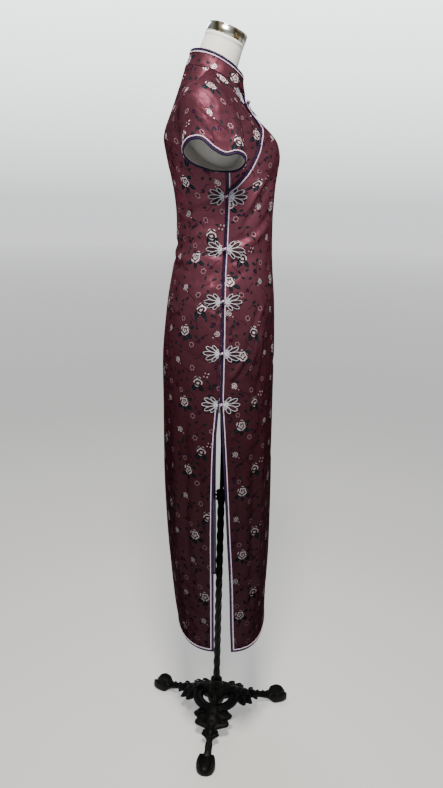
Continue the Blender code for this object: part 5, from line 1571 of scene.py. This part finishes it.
@dataclass
class SweptNodes:
    """A node tree that sweeps a profile along a mesh's edges; the sizes are its named inputs."""

    name: str
    sizes: tuple

    def path(self, add: Callable, given: Sequence, curve: Node) -> Node:
        """The curve that the profile follows."""
        return curve

    def profile(self, add: Callable, given: Sequence) -> Node:
        """The outline that is swept; each kind of bar has its own."""
        raise NotImplementedError

    def tree(self) -> NodeTree:
        """Build the tree: a curve from the edges, swept, smooth, realized and with its material."""
        tree = bpy.data.node_groups.new(self.name, "GeometryNodeTree")
        sizes = [(size, "Float") for size in self.sizes]
        for word, kind in [("Geometry", "Geometry"), *sizes, ("Material", "Material")]:
            tree.interface.new_socket(word, in_out="INPUT", socket_type=f"NodeSocket{kind}")
        tree.interface.new_socket("Geometry", in_out="OUTPUT", socket_type="NodeSocketGeometry")
        add = partial(add_node, tree)
        given = add("NodeGroupInput").outputs
        curve = add("GeometryNodeMeshToCurve", {0: given["Geometry"]})
        bar = add("GeometryNodeCurveToMesh", {"Curve": self.path(add, given, curve), "Fill Caps": True,
                                              "Profile Curve": self.profile(add, given)})
        smooth = add("GeometryNodeSetShadeSmooth", {"Geometry": bar})
        real = add("GeometryNodeRealizeInstances", {0: smooth})
        dressed = add("GeometryNodeSetMaterial", {"Geometry": real, "Material": given["Material"]})
        add("NodeGroupOutput", {0: dressed})
        return tree


@dataclass
class CordNodes(SweptNodes):
    """Round cord along a path."""

    name: str = "Cord along a path"
    sizes: tuple = ("Radius",)
    sides: int = 10

    def profile(self, add: Callable, given: Sequence) -> Node:
        """A circle of the given radius."""
        sizes = {"Resolution": self.sides, "Radius": given["Radius"]}
        return add("GeometryNodeCurvePrimitiveCircle", sizes)


@dataclass
class TwistNodes(SweptNodes):
    """A rounded square bar along a line, twisted by its turn for each metre."""

    name: str = "Twisted square bar"
    sizes: tuple = ("Side", "Corner", "Twist")
    steps: int = 320

    def path(self, add: Callable, given: Sequence, curve: Node) -> Node:
        """The line in fine steps, tilted along its length."""
        fine = add("GeometryNodeResampleCurve", {"Curve": curve, "Count": self.steps})
        along = add("GeometryNodeSplineParameter").outputs["Length"]
        turn = add("Math", {0: along, 1: given["Twist"]}, operation="MULTIPLY")
        return add("GeometryNodeSetCurveTilt", {"Curve": fine, "Tilt": turn})

    def profile(self, add: Callable, given: Sequence) -> Node:
        """A square with rounded corners."""
        square = add("GeometryNodeCurvePrimitiveQuadrilateral", {"Width": given["Side"],
                                                                 "Height": given["Side"]})
        return add("GeometryNodeFilletCurve", {"Curve": square, "Count": 4, "Limit Radius": True,
                                               "Radius": given["Corner"]}, mode="POLY")


def evaluated_mesh(name: str, base: Mesh, tree: NodeTree, values: dict) -> Mesh:
    """What a node tree makes of a mesh, as a plain mesh.

    Args:
        name: the new mesh's name.
        base: the mesh that the tree starts from.
        tree: the Geometry Nodes tree.
        values: the tree's inputs by name.

    Returns:
        The evaluated mesh; the carrier object and its modifier are gone.
    """
    carrier = bpy.data.objects.new(name, base)
    show(carrier)
    modifier = carrier.modifiers.new("nodes", "NODES")
    modifier.node_group = tree
    for item in tree.interface.items_tree:
        if item.in_out == "INPUT" and item.name in values:
            modifier[item.identifier] = values[item.name]
    bpy.context.view_layer.update()
    evaluated = carrier.evaluated_get(bpy.context.evaluated_depsgraph_get())
    mesh = bpy.data.meshes.new_from_object(evaluated)
    bpy.data.objects.remove(carrier, do_unlink=True)
    bpy.data.meshes.remove(base)
    return mesh


def path_mesh(name: str, paths: Sequence[Array], closed: Sequence[bool]) -> Mesh:
    """Paths as edges, each one closed or open."""
    points, edges = [], []
    for path, ring in zip(paths, closed):
        first, count = len(points), len(path)
        points += [tuple(place) for place in path]
        edges += [(first + i, first + i + 1) for i in range(count - 1)]
        if ring:
            edges.append((first + count - 1, first))
    mesh = bpy.data.meshes.new(name)
    mesh.from_pydata(points, edges, [])
    return mesh


@dataclass
class Knot:
    """A round button knot: a dark core wound with cord in three crossing bands."""

    centre: Array
    normal: Array
    radius: float = 4.6 * MM
    strand: float = 1.0 * MM

    def frame(self) -> Array:
        """Three square axes, the last one outwards."""
        first = unit(np.cross(self.normal, [0.0, 0.0, 1.0]))
        return np.stack([first, np.cross(self.normal, first), self.normal])

    def strands(self) -> tuple:
        """The paths of the pale and of the dark strands."""
        turn = np.linspace(0, 2 * math.pi, 33)[:-1]
        axes = self.frame()
        bands = []
        for number in range(6):
            lean = math.pi * (number // 2) / 3 + 0.35
            offset = (0.42 if number % 2 else -0.42) * self.radius * 0.75
            ring = math.sqrt((self.radius - self.strand) ** 2 - offset**2)
            sideways = math.cos(lean) * axes[0] + math.sin(lean) * axes[1]
            level = unit(-math.sin(lean) * axes[0] + math.cos(lean) * axes[1])
            weave = 1 + 0.1 * np.cos(3 * turn + number * math.pi)[:, None]
            circle = level * np.cos(turn)[:, None] + axes[2] * np.sin(turn)[:, None]
            bands.append(self.centre + sideways * offset + circle * ring * weave)
        return bands[::2], bands[1::2]

    def core(self, name: str) -> Mesh:
        """The ball inside the strands, a little flattened towards the cloth."""
        ball = turned_mesh(name, ball_profile(self.radius - 1.5 * self.strand, 0.92, 13), 24)
        turn = Matrix([list(row) for row in self.frame().T]).to_4x4()
        ball.transform(Matrix.Translation(self.centre) @ turn)
        return ball


@dataclass
class Frogs(Maker):
    """Five frogs down the side closure and one on the chest."""

    heights: tuple = (1.344, 1.239, 1.134, 1.029, 0.921)
    chest_rise: float = 0.129
    over_trim: float = 2 * SEAM_GAP + 1.4 * MM + 0.35 * MM
    knot_lift: float = 0.75 * MM + 0.6 * MM + 4.6 * MM

    def build_one(self, name: str, wings: Sequence[tuple], knot: Knot, tree: NodeTree) -> None:
        """Make one frog.

        Args:
            name: the frog's name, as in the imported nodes.
            wings: pairs of a wing's word and its shape.
            knot: the button between them.
            tree: the cord's node tree.
        """
        for word, wing in wings:
            node = f"{name}_{word}_wing"
            paths = wing.paths()
            base = path_mesh(node, paths, [False] * len(paths))
            values = {"Radius": wing.cord, "Material": self.finishes["cord"]}
            self.piece(f"cord_{node}", evaluated_mesh(node, base, tree, values), "cord", node, "cord")
            # the dark fill inside the petals is painted shade
            self.piece(f"ground_{node}", wing.petal_shade_fill(node), "ground")
        for word, finish, strands in zip(("pale", "deep"), ("piping", "binding"), knot.strands()):
            base = path_mesh(name, strands, [True] * len(strands))
            values = {"Radius": knot.strand, "Material": self.finishes[finish]}
            self.piece(f"{name}_knot_{word}", evaluated_mesh(name, base, tree, values), finish)
        self.piece(f"{name}_knot_core", knot.core(name), "binding", f"{name}_knot", "binding")

    def build(self) -> None:
        """Place the six frogs."""
        shape = self.shape
        tree = CordNodes().tree()
        middle = BINDING_WIDTH / 2
        for number, height in enumerate(self.heights, start=1):
            rise, share = height - UNDERARM_HEIGHT, 0.0008
            ahead = shape.point(Side.FRONT, 0.03, rise) - shape.point(Side.FRONT, 0.0, rise)
            behind = shape.point(Side.BACK, 0.03, rise) - shape.point(Side.BACK, 0.0, rise)
            back_low = self.over_trim if height < SLIT_HEIGHT else 0.7 * MM
            front = ClothPatch(shape, Side.FRONT, share, rise, ahead, middle)
            back = ClothPatch(shape, Side.BACK, share, rise, behind, -middle)
            wings = [("front", FrogWing(front, self.over_trim)), ("back", FrogWing(back, back_low))]
            place = shape.share_step(Side.FRONT, 0.0, rise, middle)
            centre = shape.lifted(Side.FRONT, place, rise, self.knot_lift)
            normal = shape.normal(Side.FRONT, place, rise)
            self.build_one(f"frog_side_{number}", wings, Knot(centre, normal), tree)
        rise = self.chest_rise
        share = float(shape.overlap(rise))
        edge = shape.point(Side.FRONT, shape.overlap(rise + 0.004), rise + 0.004)
        edge = edge - shape.point(Side.FRONT, shape.overlap(rise - 0.004), rise - 0.004)
        normal = shape.normal(Side.FRONT, share, rise)
        square = unit(np.cross(edge, normal))
        square = square if square[0] > 0 else -square
        front = ClothPatch(shape, Side.FRONT, share, rise, square, middle)
        flap = ClothPatch(shape, Side.FRONT, share, rise, -square, -middle, sunk=True)
        wings = [("front", FrogWing(front, self.over_trim)), ("flap", FrogWing(flap, 1.05 * MM))]
        centre = shape.point(Side.FRONT, share, rise) + square * middle + normal * self.knot_lift
        self.build_one("frog_chest", wings, Knot(centre, normal), tree)


# ---- the dress form
FORM_CLEARANCE = (
    (0.9, 0.007), (1.02, 0.007), (1.24, 0.01), (1.36, 0.008), (1.43, 0.0075),
    (1.5, 0.006), (1.535, 0.003), (1.553, 0.0012),
)


@dataclass
class DressForm(Maker):
    """The covered torso with its neck, and the metal cap on top."""

    bottom: float = 0.9
    neck_tilt: float = math.radians(19.0)
    neck_top: tuple = (0.0, 0.0165, 1.66)
    neck_radii: tuple = (0.05, 0.0415)
    neck_length: float = 0.15
    cap_radius: float = 0.0425
    cap_height: float = 0.0185

    def torso(self) -> Mesh:
        """The torso inside the dress, flat at the arm plates."""
        gap = smooth_curve(FORM_CLEARANCE)
        low = np.linspace(self.bottom - UNDERARM_HEIGHT, 0.0, 40)
        high = ARMHOLE_RISE * (1 - np.cos(np.linspace(0, 0.93 * math.pi, 24)[1:])) / 2
        shares = np.linspace(0, 1, 41)
        rings = []
        for rise in np.concatenate([low, high]):
            depth = CLOTH_WALL + gap(UNDERARM_HEIGHT + rise)
            levels = np.full(len(shares), rise)
            underlay = depth + UNDERLAY_DEPTH + SEAM_GAP
            front = self.shape.lifted(Side.FRONT, shares, levels, 0 * levels - underlay)
            back = self.shape.lifted(Side.BACK, shares, levels, 0 * levels - depth)
            rings.append(np.concatenate([front, back[::-1]]))
        return swept_mesh("form_cover", np.array(rings))

    def lean(self, mesh: Mesh, lift: float = 0.0) -> Mesh:
        """Tilt a turned mesh forward on the neck's top."""
        axis = Vector((0, -math.sin(self.neck_tilt), math.cos(self.neck_tilt)))
        base = Vector(self.neck_top) + axis * lift
        mesh.transform(Matrix.Translation(base) @ Matrix.Rotation(self.neck_tilt, 4, "X"))
        return mesh

    def neck(self) -> Mesh:
        """The covered neck with a turned-over edge under the band."""
        low, high = self.neck_radii
        steps = np.linspace(0, 1, 14)[1:]
        wall = [(low + (high - low) * s, -self.neck_length * (1 - s)) for s in steps[:-1]]
        profile = [(0.0, -self.neck_length), (low, -self.neck_length)] + wall
        profile += [(high + 0.0003, -0.0075), (high + 0.0008, -0.0068), (high + 0.0009, -0.0036),
                    (high + 0.0005, -0.0012), (high - 0.0008, -0.0001), (high - 0.004, 0.0), (0.0, 0.0)]
        return self.lean(turned_mesh("form_neck", profile, 72))

    def cap(self) -> Mesh:
        """The band and the shallow lid with its dark rim."""
        r, h = self.cap_radius, self.cap_height
        profile = [(0.0, SEAM_GAP), (r - 0.0012, SEAM_GAP), (r - 0.0003, SEAM_GAP + 0.0006), (r, 0.002),
                   (r, h - 0.0042), (r - 0.0006, h - 0.0036), (r - 0.0006, h - 0.0028), (r, h - 0.0022),
                   (r, h - 0.0009), (r - 0.0008, h), (r - 0.003, h + 0.0002), (r - 0.0042, h - 0.001),
                   (r - 0.011, h + 0.0004), (r - 0.025, h + 0.0016), (0.0, h + 0.0021)]
        return self.lean(turned_mesh("form_cap", profile, 96))

    def build(self) -> None:
        """Make the form's three visible parts."""
        cover = joined_mesh("form_cover", [self.torso(), self.neck()])
        self.piece("form_cover", cover, "cover", "form_torso", "cover")
        self.piece("neck_cap", self.cap(), "cap", "form_cap", "cap")


# ---- the stand
# The leg's sections: run from the axis, underside, top, half width (metres).
LEG_SECTIONS = (
    (0.01, 0.05, 0.096, 0.009), (0.028, 0.049, 0.088, 0.011), (0.046, 0.0465, 0.077, 0.017),
    (0.054, 0.045, 0.072, 0.045), (0.064, 0.043, 0.067, 0.049), (0.072, 0.0415, 0.063, 0.04),
    (0.08, 0.0395, 0.059, 0.044), (0.089, 0.037, 0.054, 0.04), (0.096, 0.035, 0.051, 0.019),
    (0.103, 0.0325, 0.048, 0.014), (0.111, 0.0295, 0.046, 0.023), (0.121, 0.0255, 0.041, 0.0105),
    (0.14, 0.018, 0.035, 0.0095), (0.158, 0.008, 0.03, 0.0105), (0.168, 0.0, 0.029, 0.0185),
    (0.182, 0.0, 0.029, 0.023), (0.198, 0.0, 0.0265, 0.0225), (0.208, 0.0, 0.02, 0.0165),
    (0.213, 0.001, 0.0115, 0.008),
)
LEG_OUTLINE = ((0.0, 0.03), (0.4, 0.02), (0.8, 0.0), (0.98, 0.16), (1.0, 0.3), (0.9, 0.46),
               (0.72, 0.55), (0.52, 0.58), (0.34, 0.72), (0.24, 0.93), (0.1, 1.0))
FOOT_OUTLINE = ((0.0, 0.0), (0.45, 0.0), (0.84, 0.0), (0.98, 0.18), (1.0, 0.45), (0.97, 0.76),
                (0.86, 0.97), (0.72, 1.0), (0.58, 0.88), (0.36, 0.76), (0.12, 0.72))


@dataclass
class Stand:
    """The rod, the twisted pole with its clamp, and the cast tripod."""

    finishes: dict
    rod_radius: float = 0.0045
    rod_low: float = 0.33
    rod_high: float = 0.8997
    pole_low: float = 0.1163
    pole_high: float = 0.628
    pole_side: float = 0.0146
    pole_corner: float = 0.003
    turn_length: float = 0.132
    clamp_radius: float = 0.0135
    clamp_height: float = 0.024
    leg_yaw: float = math.radians(6.5)
    scrolls: tuple = ((0.06, 0.029, 0.011, 1), (0.06, -0.029, 0.011, -1), (0.082, 0.027, 0.0095, -1),
                      (0.082, -0.027, 0.0095, 1), (0.11, 0.012, 0.007, 1), (0.11, -0.012, 0.007, -1))
    studs: tuple = ((0.052, 0.005), (0.07, 0.0046), (0.088, 0.005), (0.104, 0.0042), (0.124, 0.005),
                    (0.141, 0.004), (0.155, 0.0044))

    def rod(self) -> Mesh:
        """The steel rod with its eased ends."""
        r, low, high = self.rod_radius, self.rod_low, self.rod_high
        profile = [(0.0, low), (r - 0.0008, low), (r, low + 0.0008), (r, high - 0.0008),
                   (r - 0.0008, high), (0.0, high)]
        return turned_mesh("rod", profile, 32)

    def pole(self) -> Mesh:
        """The twisted square bar."""
        base = path_mesh("pole", [np.array([[0, 0, self.pole_low], [0, 0, self.pole_high]])], [False])
        values = {"Side": self.pole_side, "Corner": self.pole_corner,
                  "Twist": 2 * math.pi / self.turn_length, "Material": self.finishes["iron"]}
        return evaluated_mesh("pole", base, TwistNodes().tree(), values)

    def clamp(self) -> Mesh:
        """The collar on the pole's top, with its rolled lips and the boss for the screw."""
        low = self.pole_high + SEAM_GAP
        high, r = low + self.clamp_height, self.clamp_radius
        bore = 0.005
        profile = [(bore, low), (r - 0.0022, low), (r - 0.0008, low + 0.0006), (r - 0.0004, low + 0.003),
                   (r - 0.002, low + 0.0048), (r - 0.002, high - 0.0056), (r - 0.0006, high - 0.004),
                   (r - 0.0006, high - 0.0016), (r - 0.0024, high - 0.0004), (r - 0.005, high),
                   (bore, high)]
        sides = 40
        turns = full_turn(sides)
        rings = [turned_ring(turns, *station) for station in profile]
        return swept_mesh("clamp", np.array(rings), closed=True)

    def screw(self) -> Mesh:
        """The thumb screw: a knurled head with rounded rims on a plain shank."""
        start, end, shank, head = 0.0048, 0.027, 0.0027, 0.0085
        sides = 60
        turns = full_turn(sides)
        knurl = np.where(np.arange(sides) % 3 == 0, 0.94, 1.0)
        stations = [(shank * 0.7, start, 0), (shank, start + 0.0006, 0), (shank, 0.0168, 0),
                    (shank * 1.5, 0.0172, 0), (shank * 1.5, 0.018, 0), (head * 0.8, 0.0182, 0),
                    (head * 0.96, 0.0188, 0), (head, 0.0196, 1), (head, 0.0254, 1),
                    (head * 0.95, 0.0262, 0), (head * 0.78, end, 0), (head * 0.45, end - 0.0008, 0),
                    (head * 0.2, end - 0.001, 0)]
        middle = self.pole_high + SEAM_GAP + self.clamp_height / 2
        rings = []
        for radius, along, grip in stations:
            radii = radius * knurl if grip else radius
            rings.append(stacked(radii * np.cos(turns), along, middle + radii * np.sin(turns)))
        return swept_mesh("screw", np.array(rings))

    def leg_axes(self, number: int) -> tuple:
        """The level directions along one leg and across it."""
        turn = math.pi - self.leg_yaw + number * 2 * math.pi / 3
        return (np.array([math.cos(turn), math.sin(turn), 0.0]),
                np.array([-math.sin(turn), math.cos(turn), 0.0]))

    def leg(self, number: int) -> Mesh:
        """One cast leg with its scalloped flanges, raised spine and dished foot."""
        columns = [smooth_curve([(row[0], row[k]) for row in LEG_SECTIONS]) for k in (1, 2, 3)]
        along, sideways = self.leg_axes(number)
        half_outlines = [np.array(outline) for outline in (LEG_OUTLINE, FOOT_OUTLINE)]
        rings = []
        for run in np.linspace(LEG_SECTIONS[0][0], LEG_SECTIONS[-1][0], 170):
            under, top, half = (curve(run) for curve in columns)
            foot = np.clip((run - 0.16) / 0.012, 0, 1)
            outline = half_outlines[0] * (1 - foot) + half_outlines[1] * foot
            outline = np.concatenate([outline, outline[:0:-1] * np.array([-1, 1])])
            across = outline[:, 0] * max(half, 0.004)
            height = under + (top - under) * outline[:, 1]
            place = along * run + sideways * across[:, None]
            rings.append(place + np.array([0, 0, 1.0]) * height[:, None])
        return swept_mesh("leg", np.array(rings))

    def ornaments(self, number: int) -> list:
        """The scrolls cast on a leg's web and the studs along its spine."""
        top = smooth_curve([(row[0], row[2]) for row in LEG_SECTIONS])
        under = smooth_curve([(row[0], row[1]) for row in LEG_SECTIONS])
        along, sideways = self.leg_axes(number)
        parts = []
        for run, across, radius, sense in self.scrolls:
            turn = np.linspace(0, 1, 40)
            angle = sense * (0.4 + turn * 3.3 * math.pi)
            reach = radius * (1 - 0.72 * turn)
            level = under(run) + 0.62 * (top(run) - under(run))
            path = (along * (run + reach * np.cos(angle))[:, None]
                    + sideways * (across + reach * np.sin(angle))[:, None]
                    + np.array([0, 0, 1.0]) * (level + 0.0016 * turn)[:, None])
            parts.append(tube_mesh("scroll", path, 0.0021 * (1 - 0.35 * turn), 8))
        for run, radius in self.studs:
            stud = turned_mesh("stud", ball_profile(radius, 0.8, 9), 16)
            stud.transform(Matrix.Translation(Vector(along * run) + Vector((0, 0, float(top(run)) - 0.001))))
            parts.append(stud)
        return parts

    def tripod(self) -> Mesh:
        """The hub, its three legs and the ring that braces them."""
        hub = turned_mesh("hub", [(0.0, 0.116), (0.0138, 0.116), (0.015, 0.1148), (0.0152, 0.109),
                                  (0.0142, 0.1066), (0.0152, 0.104), (0.018, 0.1012), (0.0186, 0.099),
                                  (0.0174, 0.0965), (0.0164, 0.0922), (0.0176, 0.087), (0.019, 0.08),
                                  (0.0216, 0.071), (0.023, 0.064), (0.0224, 0.056), (0.02, 0.048),
                                  (0.0, 0.048)], 64)
        turns = full_turn(96)
        ring = turned_ring(turns, 0.055, 0.06)
        section = ((0.034, 0.06), (0.0355, 0.064), (0.04, 0.065), (0.055, 0.064), (0.055, 0.056),
                   (0.04, 0.055), (0.0355, 0.056))
        web = [turned_ring(turns, *corner) for corner in section]
        parts = [hub, tube_mesh("brace", ring, 0.006, 14, closed=True),
                 swept_mesh("web", np.array(web), closed=True)]
        for number in range(3):
            parts += [self.leg(number)] + self.ornaments(number)
        return joined_mesh("tripod", parts)

    def build(self) -> None:
        """Make every part of the stand."""
        iron, cast = self.finishes["iron"], self.finishes["cast"]
        add_piece("steel_rod", self.rod(), Body.FORM, [iron], ["rod"])
        add_piece("iron_pole", self.pole(), Body.STAND, [iron], ["twisted_pole"])
        add_piece("iron_clamp", self.clamp(), Body.STAND, [iron], ["clamp"])
        add_piece("thumb_screw", self.screw(), Body.SCREW, [iron], ["clamp_screw"])
        add_piece("cast_tripod", self.tripod(), Body.STAND, [cast], ["tripod"])


# ---- studio
@dataclass
class StudioSet:
    """The camera, the lamps and the pale floor."""

    finishes: dict
    eye: tuple = (-1.586, 0.0169, 1.329)
    pitch: float = math.atan(190 / 697)
    roll: float = math.radians(1.44)
    lens: float = 31.84
    wall: tuple = ((0.3, "909294"), (0.5, "9C9E9F"), (0.56, "CDD3D3"), (0.62, "F2F9F7"), (0.8, "F4F8F8"))
    wall_light: float = 3.2
    soft_light: float = 0.24

    def camera(self) -> None:
        """Look along +X, a little down, with a slight roll."""
        forward = Vector((math.cos(self.pitch), 0, -math.sin(self.pitch)))
        upward = Vector((math.sin(self.pitch), 0, math.cos(self.pitch)))
        right = Vector((0, -1, 0))
        rolled_right = right * math.cos(self.roll) + upward * math.sin(self.roll)
        rolled_up = upward * math.cos(self.roll) - right * math.sin(self.roll)
        data = bpy.data.cameras.new("Camera")
        data.lens = self.lens
        data.sensor_width = 36.0
        data.clip_start, data.clip_end = 0.01, 200.0
        camera = bpy.data.objects.new("Camera", data)
        turn = Matrix((rolled_right, rolled_up, -forward)).transposed().to_4x4()
        camera.matrix_world = Matrix.Translation(self.eye) @ turn
        show(camera)
        bpy.context.scene.camera = camera

    def lamp(self, name: str, place: tuple, target: tuple, size: tuple, power: float, colour: str) -> None:
        """A soft lamp of the given width and height, aimed at a place."""
        data = bpy.data.lights.new(name, "AREA")
        data.shape = "RECTANGLE"
        data.energy, data.size, data.size_y = power, *size
        data.color = linear_colour(colour)[:3]
        lamp = bpy.data.objects.new(name, data)
        lamp.location = place
        lamp.rotation_mode = "QUATERNION"
        lamp.rotation_quaternion = (Vector(target) - Vector(place)).to_track_quat("-Z", "Y")
        show(lamp)

    def build(self) -> None:
        """Set the camera, the floor, the background and the lamps."""
        self.camera()
        shape = bmesh.new()
        bmesh.ops.create_circle(shape, cap_ends=True, segments=96, radius=40.0)
        mesh = bpy.data.meshes.new("studio_floor")
        shape.to_mesh(mesh)
        shape.free()
        mesh.materials.append(self.finishes["floor"])
        floor = bpy.data.objects.new("studio_floor", mesh)
        floor.location.z = -0.0005
        show(floor)
        self.background()
        self.lamp("Key from above", (-1.25, 0.05, 2.85), (0.0, 0.0, 1.2), (0.45, 0.45), 86.0, "FFF6EE")
        self.lamp("Fill from behind", (1.5, 0.5, 2.5), (0.0, 0.0, 1.3), (0.9, 0.9), 20.0, "F2F6FF")
        self.lamp("Strip in front", (-0.9, -1.6, 1.6), (0.0, 0.0, 1.35), (0.16, 1.2), 2.0, "FFFFFF")

    def background(self) -> None:
        """A pale backdrop that grows lighter upwards, and an even soft light from all round."""
        world = bpy.data.worlds.new("Studio")
        bpy.context.scene.world = world
        world.use_nodes = True
        world.node_tree.nodes.clear()
        add = partial(add_node, world.node_tree)
        place = add("TexCoord").outputs["Generated"]
        level = add("SeparateXYZ", {0: place}).outputs[2]
        share = add("Math", {0: level, 1: 0.5, 2: 0.5}, operation="MULTIPLY_ADD")
        wall = add("ValToRGB", {"Fac": share}, stops=self.wall)
        seen = add("Background", {"Color": wall, "Strength": self.wall_light})
        soft = add("Background", {"Color": "F4F7F9", "Strength": self.soft_light})
        rays = add("LightPath")
        mixed = add("MixShader", {0: rays.outputs["Is Camera Ray"], 1: soft, 2: seen})
        add("OutputWorld", {"Surface": mixed})


def main() -> None:
    """Build the studio, the finishes and then every sub-assembly."""
    logging.basicConfig(level=logging.INFO, format="%(name)s: %(message)s")
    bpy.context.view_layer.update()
    shape = DressShape()
    finishes = make_finishes()
    StudioSet(finishes).build()
    DressForm(shape, finishes).build()
    Garment(shape, finishes).build()
    Seams(shape, finishes).build()
    Frogs(shape, finishes).build()
    Stand(finishes).build()


if __name__ == "__main__":
    main()
